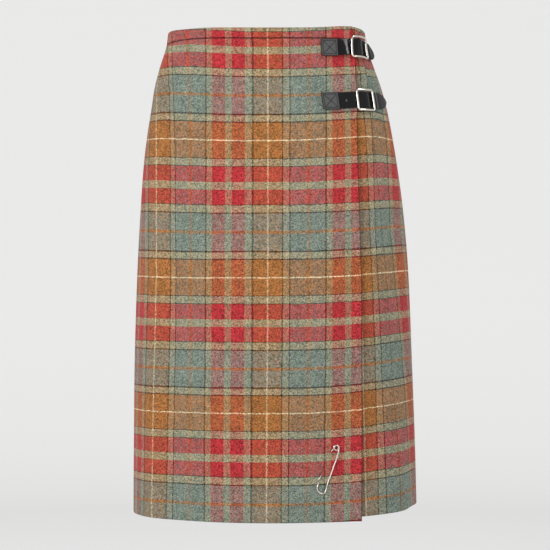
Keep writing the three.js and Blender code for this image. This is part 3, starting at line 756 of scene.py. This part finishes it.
# Back panel: one piece from the right side seam round to the left one, shaped at the waist by two darts.
# Its wefts meet the front's at both seams, but drop a little past the right one near the waist.
BACK_STRIPES = {
    "places": (57.0, 79.0, 88.0, 106.0, 350.0),
    "rows": [
        (0, (136, 158, 167, 186, 370)),
        (-59, (147.1, 171.9, 180.9, 196, 413)),
        (-144, (155.1, 185.1, 195.6, 216, 472)),
        (-200, (161.8, 185.6, 195.8, 218, 490)),
        (-275, (168.6, 187.4, 195.9, 220, 515)),
        (-440, (187.0, 213.1, 221.1, 248, 541)),
        (-657, (203.9, 240.8, 250.5, 277, 556)),
    ],
}
# The wefts drop past the right seam, not at all below the first of these levels and fully above the second.
# Above the next two levels they drop in the seam itself, and below them gradually over some degrees.
SEAM_DROP = 2.6
DROP_LEVELS = (-260, -100)
DROP_AT_SEAM = (-120, -60)
DROP_ROUND = 16
BEHIND = (90, 270)  # between these angles the right side's rise turns into the left side's


def back_out(angle, level):
    return 0.0 * (angle + level)


def right_of_right_seam(level):
    return right_seam(level) + degrees_for(GAP / 2, right_seam(level), level)


def behind_left_seam(level):
    return 360 + SIDE_SEAM_ANGLE - degrees_for(GAP / 2, SIDE_SEAM_ANGLE, level)


def back_down(angle, level):
    """Place in the cloth's length behind, from the top edge down."""
    past = smooth(0, DROP_ROUND, angle - right_seam(level))
    drop = SEAM_DROP * smooth(*DROP_LEVELS, level) * mix(past, 1.0, smooth(*DROP_AT_SEAM, level))
    rise = mix(right_rise(angle, level) - drop, read_pairs(LEFT_RISE, level), smooth(*BEHIND, angle))
    return rise - read_pairs(DRIFT, level) - level


BACK = dict(start=right_of_right_seam, end=behind_left_seam, out=back_out, stripes=BACK_STRIPES,
            in_length=back_down)
back_panel = cloth_piece("back_panel_cloth", top=panel_top, bottom=raised_hem, columns=230, rows=190,
                         seams="set", lines="et", turn_up=HEM_THICKER, **BACK)
finish_piece(back_panel, TWEED, "back_panel")


# Waistband: a narrow band of the same tweed over the top of each panel, cut so that the check runs on through
# its seam. It is folded over stiffening and sewn in the ditch, so no stitches show.
WAIST_LIFTS = table(  # where it is cut higher
    "angle spread height",
    (66, 22, 5.2),
    (-78, 14, 2.5),
    (282, 14, 2.5),
)
# node, the panel that it runs over, steps round, flat length, sewn edges and those that get a painted shade
# line
BANDS = [
    ("waistband_over", OVER, 150, 0.29, "sb", "sb"),
    ("waistband_under", UNDER, 100, 0.23, "eb", "b"),
    ("waistband_back", BACK, 220, 0.45, "seb", "eb"),
]


def waist_level(angle):
    lifts = sum(lift["height"] * bump(angle - lift["angle"], lift["spread"]) for lift in WAIST_LIFTS)
    return seam_level(angle) + BAND_HEIGHT + lifts


for node, round_skirt, columns, length, seams, lines in BANDS:
    band = cloth_piece(f"{node}_cloth", top=waist_level, bottom=seam_level, columns=columns, rows=12,
                       seams=seams, lines=lines, **round_skirt)
    finish_piece(band, TWEED, node)


# Straps: two black leather straps with skived edges and a pointed tip. Each comes out from under its stitched
# patch on the over apron, goes under the buckle's near side, over its bar and under its far side.
STRAP_WIDTH = 22.5
STRAP_THICKNESS = 1.5
STRAP_HOLE = 4.0
STRAP_ROUND = 0.45
STRAP_EDGE_DEEP = 0.6
STRAP_STEPS = 140
STRAP_CLOSER = 0.9  # less makes the steps shorter towards its tip
# rows of its mesh, as shares of its half width
STRAP_ROWS = np.concatenate([[1.0, 0.985, 0.95], np.linspace(0.9, -0.9, 15), [-0.95, -0.985, -1.0]])
TIP_BLUNT = 0.9  # half width of the very tip
TIP_FULL = 0.8  # less makes the point fuller
TIP_WALL = 0.02  # keeps the tip's two faces apart
HOLE_SIDES = 24
PUNCH = (-1.0, 6.0)  # from under the leather to over it
PATCH_SIZE = 23.5
BAR_LEVEL = 2.2
EYE_RADIUS = 1.9
CHAPE_THICKNESS = 1.4
CHAPE_TAIL = 20.0
STRAPS = [
    {"name": "upper", "start_angle": 31.4, "start_level": -26.3, "buckle_angle": 61.6, "buckle_level": -22.4,
     "tip_angle": 84, "tip_level": -30, "tip_lift": 5.5, "tip_length": 12, "hole_angle": 47.1,
     "upright_start": 0.12, "upright_buckle": 0.27, "lean": 0.22},
    {"name": "lower", "start_angle": 26.1, "start_level": -100.4, "buckle_angle": 52.8, "buckle_level": -96.6,
     "tip_angle": 81.5, "tip_level": -96.4, "tip_lift": 1.2, "tip_length": 22, "hole_angle": 39.9,
     "upright_start": 0.0, "upright_buckle": 0.11, "lean": 0.0},
]
ON_OVER_APRON = LAYER + GAP
OVER_BAR = BAR_LEVEL + EYE_RADIUS + GAP
OVER_CHAPE = GAP + CHAPE_THICKNESS + GAP
ON_UNDER_APRON = GAP + 0.1
# lengths from the bar where a strap climbs to it, comes down on the chape and comes down on the under apron
CLIMBS = (-10, -2)
DROPS = (2, 10)
SETTLES = (CHAPE_TAIL + 1, CHAPE_TAIL + 8)
TIP_RISES = 18  # before its end
# the lean starts this far under the patch, grows over the next length and is gone between the last two
LEAN_UNDER_PATCH = 2
LEAN_GROWS = 13
LEAN_GOES = (-16, -21)


def strap_lean(strap, along):
    """Between its patch and the buckle the upper strap leans, its lower edge out."""
    free_from = length_to(strap, strap["start_angle"]) + PATCH_SIZE - LEAN_UNDER_PATCH
    return strap["lean"] * smooth(free_from, free_from + LEAN_GROWS, along) * smooth(*LEAN_GOES, along)


def strap_point(strap, along, across, out):
    """Flat strap work laid round the skirt: along from the buckle's bar, up across the strap, out."""
    along, across, out = np.broadcast_arrays(np.asarray(along, float), across, out)
    angle = np.full(along.shape, float(strap["buckle_angle"]))
    level = np.full(along.shape, float(strap["buckle_level"]))
    steps = 24
    for _ in range(steps):
        angle = angle + degrees_for(along / steps, angle, level)
    before = smooth(strap["start_angle"], strap["buckle_angle"], angle)
    after = smooth(strap["buckle_angle"], strap["tip_angle"], angle)
    middle = mix(mix(strap["start_level"], strap["buckle_level"], before), strap["tip_level"], after)
    upright = mix(strap["upright_start"], strap["upright_buckle"], before) * across
    return skirt_point(angle + degrees_for(upright, angle, middle), middle + across, out)


def length_to(strap, angle):
    """Length from the buckle's bar to an angle, less than nothing towards the front."""
    steps = 40
    step = (angle - strap["buckle_angle"]) / steps
    middles = strap["buckle_angle"] + (np.arange(steps) + 0.5) * step
    return float((step / degrees_for(1.0, middles, np.full(steps, float(strap["buckle_level"])))).sum())


def strap_underside(strap, along, tip):
    """How far out the strap's underside lies: on the cloth, over the bar and over the chape."""
    under = mix(ON_OVER_APRON, OVER_BAR, smooth(*CLIMBS, along))
    under = mix(under, OVER_CHAPE, smooth(*DROPS, along))
    under = mix(under, ON_UNDER_APRON, smooth(*SETTLES, along))
    return under + strap["tip_lift"] * smooth(tip - TIP_RISES, tip, along)


def strap_half_width(strap, along, tip):
    """The strap is even in width up to its pointed tip."""
    left = np.clip((tip - along) / strap["tip_length"], 0, 1)
    return np.maximum(TIP_BLUNT, STRAP_WIDTH / 2 * np.sin(left * math.pi / 2) ** TIP_FULL)


def grained_material(name, colour, roughness, grain_scale, grain_depth, shaded=False):
    """Leather: a fine pebble grain, with the polish worn a little unevenly. Shaded leather is darker where
    the mesh's attribute of the name light says so, which holds edge paint and painted shade."""
    leather, tree, shader = material(name)
    place = put(tree, "ShaderNodeTexCoord").outputs["Object"]
    cells = put(tree, "ShaderNodeTexVoronoi", {"Vector": place, "Scale": grain_scale}, feature="SMOOTH_F1")
    fine = put(tree, "ShaderNodeTexNoise", {"Vector": place, "Scale": grain_scale * 2.2, "Detail": 4.0})
    height = maths(tree, "ADD", cells.outputs["Distance"], maths(tree, "MULTIPLY", fine.outputs["Fac"], 0.5))
    relief = put(tree, "ShaderNodeBump", {"Height": height, "Strength": 0.6, "Distance": grain_depth * MM})
    tree.links.new(relief.outputs["Normal"], shader.inputs["Normal"])
    worn = put(tree, "ShaderNodeTexNoise", {"Vector": place, "Scale": 160.0, "Detail": 3.0})
    polish = maths(tree, "MULTIPLY_ADD", worn.outputs["Fac"], 0.2, roughness - 0.1)
    tree.links.new(polish, shader.inputs["Roughness"])
    value = maths(tree, "MULTIPLY_ADD", cells.outputs["Distance"], 0.5, 0.75)
    if shaded:
        value = maths(tree, "MULTIPLY", value, painted(tree, "light"))
    shade = put(tree, "ShaderNodeHueSaturation", {"Value": value, "Color": (*colour, 1.0)})
    tree.links.new(shade.outputs["Color"], shader.inputs["Base Color"])
    shader.inputs["Specular IOR Level"].default_value = 0.2
    return leather


def leather_strap(strap):
    start, tip = length_to(strap, strap["start_angle"]), length_to(strap, strap["tip_angle"])
    along = mix(start, tip, np.linspace(0, 1, STRAP_STEPS) ** STRAP_CLOSER)[:, None]
    half = strap_half_width(strap, along, tip)
    share = STRAP_ROWS[None, :]
    from_edge = np.minimum((1 - np.abs(share)) * half, tip - along + TIP_WALL)
    inset = STRAP_EDGE_DEEP * turned_in(from_edge, STRAP_ROUND)
    under = strap_underside(strap, along, tip) + strap_lean(strap, along) * (half - share * half)
    face = strap_point(strap, along, share * half, under + STRAP_THICKNESS - inset)
    back = strap_point(strap, along, share * half, under + inset)
    piece = make_piece(f"strap_{strap['name']}_leather", np.stack([face, back]),
                       wall_faces(len(along), share.size))
    punch_hole(piece, strap)
    return piece


def tube_faces(rings, sides, closed):
    """Faces of a tube through rings of points, with flat ends unless it is closed on itself."""
    last = rings if closed else rings - 1
    faces = []
    for ring in range(last):
        here, there = ring * sides, (ring + 1) % rings * sides
        for side in range(sides):
            beside = (side + 1) % sides
            faces.append((here + side, here + beside, there + beside, there + side))
    if not closed:
        faces.append(tuple(range(sides - 1, -1, -1)))
        faces.append(tuple((rings - 1) * sides + side for side in range(sides)))
    return faces


def plain_mesh(thing):
    """The mesh that an object's modifiers or its curve give it."""
    return bpy.data.meshes.new_from_object(thing.evaluated_get(bpy.context.evaluated_depsgraph_get()))


def punch_hole(piece, strap):
    turn = np.linspace(0, 2 * math.pi, HOLE_SIDES, endpoint=False)
    along = length_to(strap, strap["hole_angle"]) + STRAP_HOLE / 2 * np.cos(turn)
    across = STRAP_HOLE / 2 * np.sin(turn)
    low = strap_point(strap, along, across, ON_OVER_APRON + PUNCH[0])
    high = strap_point(strap, along, across, ON_OVER_APRON + STRAP_THICKNESS + PUNCH[1])
    punch = make_piece("punch", np.stack([low, high]), tube_faces(2, HOLE_SIDES, False))
    cut = piece.modifiers.new("hole", "BOOLEAN")
    cut.object = punch
    cut.operation = "DIFFERENCE"
    cut.solver = "EXACT"
    plain = plain_mesh(piece)
    piece.modifiers.clear()
    piece.data = plain
    bpy.data.objects.remove(punch)


STRAP_LEATHER = grained_material("strap_leather", (0.004, 0.004, 0.005), 0.19, 900.0, 0.05)
for strap in STRAPS:
    finish_piece(leather_strap(strap), STRAP_LEATHER, f"strap_{strap['name']}")


# Strap patches: a square of grained leather over the end of each strap, sewn through strap and apron with
# waxed thread round a box and across both its diagonals.
PATCH_THICKNESS = 1.6
PATCH_ROUND = 0.7
PATCH_CORNER = 3.2  # the outer corners are cut round
PATCH_EDGE = 1.4  # darker this far in: the black edge paint, and painted shade where the face rounds over
PATCH_EDGE_LIGHT = 0.15
PATCH_OVERHANG = 0.6  # past the strap's end
# rows of its mesh, as shares of its side
PATCH_ROWS = np.concatenate([[0, 0.006, 0.018, 0.03], np.linspace(0.06, 0.94, 40), [0.97, 0.982, 0.994, 1]])
PATCH_UNDER = ON_OVER_APRON + STRAP_THICKNESS + GAP
STITCH_MARGIN = 2.6
STITCH_SPACING = 2.5
STITCH_LENGTH = 1.9
THREAD = 0.55
STITCH_SINK = 0.08
STITCH_DENT = 0.3
STITCH_DENT_WIDTH = 0.6
PAINTED_STITCH_SHADE = 0.8  # painted shade in the stitch dents: how much darker the leather is drawn there
STITCH_LINE_POINTS = 13


def patch_start(strap):
    """Length from the buckle's bar to the patch's far side."""
    return length_to(strap, strap["start_angle"]) - PATCH_OVERHANG


def strap_patch(strap):
    start, share = patch_start(strap), PATCH_ROWS
    along = (start + PATCH_SIZE * share)[:, None]
    to_corner = PATCH_CORNER - np.clip(PATCH_SIZE * share, 0, PATCH_CORNER)[:, None]
    half = PATCH_SIZE / 2 - PATCH_CORNER + np.sqrt(PATCH_CORNER ** 2 - to_corner ** 2)
    across = (1 - 2 * share)[None, :] * half
    from_side = np.minimum(share, 1 - share)
    from_edge = np.minimum(PATCH_SIZE * from_side[:, None], 2 * half * from_side[None, :])
    inset = PATCH_ROUND * turned_in(from_edge, PATCH_ROUND)
    dent = stitch_dent(along - start - PATCH_SIZE / 2, across)
    face = strap_point(strap, along, across, PATCH_UNDER + PATCH_THICKNESS - inset - STITCH_DENT * dent)
    back = strap_point(strap, along, across, PATCH_UNDER + 0 * along)
    # painted shade: darker in the stitch dents and where the face rounds over the rim, with the rim's edge
    # paint
    light = mix(PATCH_EDGE_LIGHT, 1.0, smooth(0, PATCH_EDGE, from_edge)) * (1 - PAINTED_STITCH_SHADE * dent)
    return make_piece(f"strap_patch_{strap['name']}_leather", np.stack([face, back]),
                      wall_faces(share.size, share.size), values={"light": both_faces(light)})


def stitch_dent(x, y):
    """The thread pulls the leather down along the box and its diagonals: 1 on the line, 0 away from it."""
    box = PATCH_SIZE / 2 - STITCH_MARGIN
    to_box = np.abs(np.maximum(np.abs(x), np.abs(y)) - box)
    inside = np.maximum(np.abs(x), np.abs(y)) < box
    to_cross = np.where(inside, np.minimum(np.abs(x - y), np.abs(x + y)) / math.sqrt(2), CLEAR_OF_SEAMS)
    return np.exp(-(np.minimum(to_box, to_cross) / STITCH_DENT_WIDTH) ** 2)


def stitch_tree():
    """Geometry nodes: stitches of a set length along the edges of a mesh."""
    tree = bpy.data.node_groups.new("Stitches", "GeometryNodeTree")
    tree.interface.new_socket("Geometry", in_out="INPUT", socket_type="NodeSocketGeometry")
    for name in ("Spacing", "Stitch Length", "Thread"):
        tree.interface.new_socket(name, in_out="INPUT", socket_type="NodeSocketFloat")
    tree.interface.new_socket("Material", in_out="INPUT", socket_type="NodeSocketMaterial")
    tree.interface.new_socket("Geometry", in_out="OUTPUT", socket_type="NodeSocketGeometry")
    given, result = tree.nodes.new("NodeGroupInput"), tree.nodes.new("NodeGroupOutput")
    spacing, length, thread = (given.outputs[name] for name in ("Spacing", "Stitch Length", "Thread"))
    line = put(tree, "GeometryNodeMeshToCurve", {"Mesh": given.outputs["Geometry"]})
    evenly = put(tree, "GeometryNodeResampleCurve", {"Curve": line.outputs[0], "Length": spacing},
                 mode="LENGTH")
    bead = put(tree, "GeometryNodeMeshUVSphere", {"Segments": 8, "Rings": 6, "Radius": 0.5})
    tangent = put(tree, "GeometryNodeInputTangent")
    turned = put(tree, "FunctionNodeAlignRotationToVector", {"Vector": tangent.outputs[0]}, axis="X")
    size = put(tree, "ShaderNodeCombineXYZ", {"X": length, "Y": thread, "Z": thread})
    placed = put(tree, "GeometryNodeInstanceOnPoints",
                 {"Points": evenly.outputs[0], "Instance": bead.outputs["Mesh"],
                  "Rotation": turned.outputs[0], "Scale": size.outputs[0]})
    real = put(tree, "GeometryNodeRealizeInstances", {"Geometry": placed.outputs[0]})
    even = put(tree, "GeometryNodeSetShadeSmooth", {"Geometry": real.outputs[0]})
    waxed = put(tree, "GeometryNodeSetMaterial", {"Geometry": even.outputs[0],
                                                  "Material": given.outputs["Material"]})
    tree.links.new(waxed.outputs[0], result.inputs[0])
    return tree


def stitches(name, lines, look, tree):
    """Stitches along each line of points, as a plain mesh. Lines share no points, so each keeps its ends."""
    points = np.concatenate(lines)
    starts = np.cumsum([0] + [len(line) for line in lines])
    edges = [(index, index + 1) for start, end in zip(starts[:-1], starts[1:])
             for index in range(start, end - 1)]
    mesh = bpy.data.meshes.new(name)
    mesh.from_pydata((points * MM).tolist(), edges, [])
    piece = bpy.data.objects.new(name, mesh)
    bpy.context.collection.objects.link(piece)
    sewing = piece.modifiers.new("stitches", "NODES")
    sewing.node_group = tree
    sizes = {"Spacing": STITCH_SPACING * MM, "Stitch Length": STITCH_LENGTH * MM, "Thread": THREAD * MM,
             "Material": look}
    for socket in tree.interface.items_tree:
        if socket.in_out == "INPUT" and socket.name in sizes:
            sewing[socket.identifier] = sizes[socket.name]
    plain = plain_mesh(piece)
    piece.modifiers.clear()
    piece.data = plain
    return piece


def box_and_cross(strap):
    """Stitch lines on a patch: four sides and two diagonals."""
    box = PATCH_SIZE / 2 - STITCH_MARGIN
    corners = [(-box, box), (box, box), (box, -box), (-box, -box)]
    pairs = list(zip(corners, corners[1:] + corners[:1]))
    pairs += [(corners[0], corners[2]), (corners[1], corners[3])]
    middle = patch_start(strap) + PATCH_SIZE / 2
    top = PATCH_UNDER + PATCH_THICKNESS - STITCH_DENT + THREAD / 2 - STITCH_SINK
    part = np.linspace(0, 1, STITCH_LINE_POINTS)
    return [strap_point(strap, middle + mix(first[0], second[0], part), mix(first[1], second[1], part), top)
            for first, second in pairs]


# the patch leather carries the painted shade of its rim and stitch dents
PATCH_LEATHER = grained_material("patch_leather", (0.075, 0.074, 0.076), 0.5, 1100.0, 0.12, shaded=True)
CHAPE_LEATHER = grained_material("chape_leather", (0.012, 0.012, 0.012), 0.5, 1100.0, 0.1)
THREAD_LOOK, _, thread_shader = material("waxed_thread")
thread_shader.inputs["Base Color"].default_value = (0.008, 0.008, 0.008, 1.0)
thread_shader.inputs["Roughness"].default_value = 0.45
STITCHES = stitch_tree()
for strap in STRAPS:
    finish_piece(strap_patch(strap), PATCH_LEATHER, f"strap_patch_{strap['name']}")
    sewn = stitches(f"strap_stitches_{strap['name']}", box_and_cross(strap), THREAD_LOOK, STITCHES)
    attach(sewn, "root")


# Buckles: polished nickel castings, a rounded frame with a dropped centre bar and no prong showing.
# Each hangs in a loop of leather, the chape, that is sewn down under the strap's far end.
FRAME_WIDTH = 30.0
FRAME_HEIGHT = 30.8
FRAME_ROD = 3.0
FRAME_CORNER = 4.6
FRAME_LEVEL = 6.0
FRAME_CORNER_STEPS = 8
FRAME_STEP = 2.5
ROD_SIDES = 14
ROD_FLAT = 0.92  # the casting is a little flatter than round
BAR_RADIUS = 1.0
BAR_END = FRAME_HEIGHT / 2 - FRAME_ROD / 2
# the bar's middle line from the frame to its straight part: across the strap, and out
HALF_BAR = np.array([
    (BAR_END, FRAME_LEVEL - 0.2),
    (BAR_END - 0.8, FRAME_LEVEL - 1.1),
    (BAR_END - 1.6, BAR_LEVEL + 0.9),
    (BAR_END - 2.6, BAR_LEVEL + 0.15),
    (BAR_END - 4, BAR_LEVEL),
    (BAR_END - 9, BAR_LEVEL),
])
CHAPE_WIDTH = 18.0
CHAPE_CUT = (0.4, 0.5)  # how the tail's end is bevelled, along and out
CHAPE_STEPS = (0.2, 0.4, 0.6, 0.8)
EYE_STEPS = 28
# sections of the chape across the strap: share of its half width, and thickness, less at the cut edges
CHAPE_ROWS = [(1.0, 0.86), (0.96, 1.0), (0.5, 1.0), (0.0, 1.0), (-0.5, 1.0), (-0.96, 1.0), (-1.0, 0.86)]


def frame_path(width, height, corner):
    """Points round a rounded rectangle, and the outward direction at each."""
    places, outward = [], []
    for turn_x, turn_y, first in ((1, 1, 0), (-1, 1, 90), (-1, -1, 180), (1, -1, 270)):
        for step in range(FRAME_CORNER_STEPS + 1):
            turn = math.radians(first + 90 * step / FRAME_CORNER_STEPS)
            normal = (math.cos(turn), math.sin(turn))
            places.append((turn_x * (width / 2 - corner) + corner * normal[0],
                           turn_y * (height / 2 - corner) + corner * normal[1]))
            outward.append(normal)
    return np.array(places), np.array(outward)


def buckle(strap):
    corners, directions = frame_path(FRAME_WIDTH - FRAME_ROD, FRAME_HEIGHT - FRAME_ROD,
                                     FRAME_CORNER - FRAME_ROD / 2)
    # straight sides need points too, so that the frame bends round the hip
    middle, outward = [], []
    for index in range(len(corners)):
        after = (index + 1) % len(corners)
        pieces = max(1, round(float(np.linalg.norm(corners[after] - corners[index])) / FRAME_STEP))
        for piece in range(pieces):
            middle.append(mix(corners[index], corners[after], piece / pieces))
            outward.append(mix(directions[index], directions[after], piece / pieces))
    middle, outward = np.array(middle), np.array(outward)
    turn = np.linspace(0, 2 * math.pi, ROD_SIDES, endpoint=False)
    sideways, upward = FRAME_ROD / 2 * np.cos(turn), FRAME_ROD / 2 * ROD_FLAT * np.sin(turn)
    along = middle[:, :1] + outward[:, :1] * sideways
    across = middle[:, 1:] + outward[:, 1:] * sideways
    ring = strap_point(strap, along, across, FRAME_LEVEL + np.broadcast_to(upward, along.shape))
    path = np.concatenate([HALF_BAR, (HALF_BAR * [-1, 1])[::-1]])
    step = np.gradient(path, axis=0)
    step /= np.linalg.norm(step, axis=1, keepdims=True)
    bar_along = BAR_RADIUS * np.cos(turn) + 0 * path[:, :1]
    bar_across = path[:, :1] + step[:, 1:] * BAR_RADIUS * np.sin(turn)
    bar_out = path[:, 1:] - step[:, :1] * BAR_RADIUS * np.sin(turn)
    bar = strap_point(strap, bar_along, bar_across, bar_out)
    shift = len(middle) * ROD_SIDES
    bar_faces = [tuple(corner + shift for corner in face) for face in tube_faces(len(path), ROD_SIDES, False)]
    points = np.concatenate([ring.reshape(-1, 3), bar.reshape(-1, 3)])
    return make_piece(f"buckle_{strap['name']}_nickel", points,
                      tube_faces(len(middle), ROD_SIDES, True) + bar_faces)


def chape(strap):
    """The section of the loop and its tail, swept across the strap."""
    leave = math.asin((EYE_RADIUS - CHAPE_THICKNESS) / EYE_RADIUS)
    turns = np.linspace(-leave, 1.5 * math.pi, EYE_STEPS)
    end, top = CHAPE_TAIL - CHAPE_CUT[0], CHAPE_THICKNESS - EYE_RADIUS
    outline = [(end, -EYE_RADIUS), (CHAPE_TAIL, -EYE_RADIUS + CHAPE_CUT[1]), (end, top)]
    outline += [(mix(end, EYE_RADIUS, part), top) for part in CHAPE_STEPS]
    outline += [(EYE_RADIUS * math.cos(turn), EYE_RADIUS * math.sin(turn)) for turn in turns]
    outline += [(CHAPE_TAIL * part, -EYE_RADIUS) for part in CHAPE_STEPS]
    along, out = np.array(outline).T
    middle = CHAPE_THICKNESS / 2 - EYE_RADIUS
    rings = [strap_point(strap, along, share * CHAPE_WIDTH / 2,
                         BAR_LEVEL + middle + (out - middle) * thickness)
             for share, thickness in CHAPE_ROWS]
    return make_piece(f"buckle_chape_{strap['name']}_leather", np.stack(rings),
                      tube_faces(len(CHAPE_ROWS), len(outline), False))


def metal_material(name, colour, roughness):
    metal, tree, shader = material(name)
    shader.inputs["Metallic"].default_value = 1.0
    place = put(tree, "ShaderNodeTexCoord").outputs["Object"]
    handled = put(tree, "ShaderNodeTexNoise", {"Vector": place, "Scale": 420.0, "Detail": 3.0})
    polish = maths(tree, "MULTIPLY_ADD", handled.outputs["Fac"], 0.12, roughness - 0.06)
    tree.links.new(polish, shader.inputs["Roughness"])
    value = maths(tree, "MULTIPLY_ADD", handled.outputs["Fac"], 0.16, 0.92)
    shade = put(tree, "ShaderNodeHueSaturation", {"Value": value, "Color": (*colour, 1.0)})
    tree.links.new(shade.outputs["Color"], shader.inputs["Base Color"])
    return metal


NICKEL = metal_material("nickel_plate", (0.62, 0.575, 0.52), 0.14)
for strap in STRAPS:
    finish_piece(buckle(strap), NICKEL, f"buckle_{strap['name']}")
    finish_piece(chape(strap), CHAPE_LEATHER, f"buckle_chape_{strap['name']}")


# Kilt pin: one piece of bright drawn steel wire. The needle goes in through both aprons and out again to a
# spring coil; the arm comes down outside the cloth and turns round the point as its guard.
PIN_WIRE = 1.9
COIL_RADIUS = 3.2
COIL_PITCH = 2.2
COIL_TURNS = 1.55
COIL_START = 205.0
COIL_STEPS = 18
PIN_ANGLE = 20.2
PIN_LEVEL = -597.0
PIN_OUT = PIN_WIRE / 2 + 0.7
PIN_INSIDE = -(CLOTH + LAYER) - 0.5 - PIN_WIRE / 2
COIL = (14.0, 29.3)
NEEDLE_POINT = 0.45  # of the wire's width
# across and up from the pin's middle, out from the over apron's face
NEEDLE = [
    (-10.6, -12.6, PIN_OUT + 0.3),
    (-8.4, -9.9, PIN_OUT - 0.2),
    (-5.9, -6.6, -1.6),
    (-3.8, -2.6, PIN_INSIDE + 0.5),
    (-1.4, 2.8, PIN_INSIDE),
    (3.4, 14, PIN_INSIDE),
    (5.6, 19, PIN_INSIDE + 0.5),
    (7.4, 23, -1.6),
    (9, 26.2, PIN_OUT - 0.2),
]
# across and up
ARM = [(16.4, 24.4), (8.7, 1.2), (1.1, -20), (-0.8, -27.2), (-3.4, -31), (-7.6, -31.2), (-11.6, -27.6),
       (-12.6, -23.4), (-11, -18.2), (-11.3, -15.6)]


def pin_rows():
    """Points of the wire from the needle through the coil to the guard."""
    coil = []
    for step in range(COIL_STEPS + 1):
        wound = step / COIL_STEPS * COIL_TURNS
        turn = math.radians(COIL_START - wound * 360)
        coil.append((COIL[0] + COIL_RADIUS * math.cos(turn), COIL[1] + COIL_RADIUS * math.sin(turn),
                     PIN_OUT + wound * COIL_PITCH))
    top = coil[-1][2]
    arm = [(across, up, float(mix(top, PIN_OUT, smooth(0, 2, index))))
           for index, (across, up) in enumerate(ARM)]
    return np.array(NEEDLE + coil + arm)


def kilt_pin():
    rows = pin_rows()
    angle = PIN_ANGLE + degrees_for(rows[:, 0], PIN_ANGLE, np.full(len(rows), PIN_LEVEL))
    places = skirt_point(angle, PIN_LEVEL + rows[:, 1], rows[:, 2] + lap_out(PIN_ANGLE)) * MM
    curve = bpy.data.curves.new("kilt_pin_wire", "CURVE")
    curve.dimensions = "3D"
    curve.bevel_depth = PIN_WIRE / 2 * MM
    curve.bevel_resolution = 5
    curve.resolution_u = 8
    curve.use_fill_caps = True
    spline = curve.splines.new("BEZIER")
    spline.bezier_points.add(len(places) - 1)
    for point, place in zip(spline.bezier_points, places):
        point.co = Vector(place)
        point.handle_left_type = point.handle_right_type = "AUTO"
    spline.bezier_points[0].radius = NEEDLE_POINT
    line = bpy.data.objects.new("kilt_pin_line", curve)
    bpy.context.collection.objects.link(line)
    mesh = plain_mesh(line)
    bpy.data.objects.remove(line)
    mesh.shade_smooth()
    piece = bpy.data.objects.new("kilt_pin_wire", mesh)
    bpy.context.collection.objects.link(piece)
    return piece


PIN_STEEL = metal_material("pin_wire", (0.56, 0.49, 0.46), 0.24)
finish_piece(kilt_pin(), PIN_STEEL, "kilt_pin")
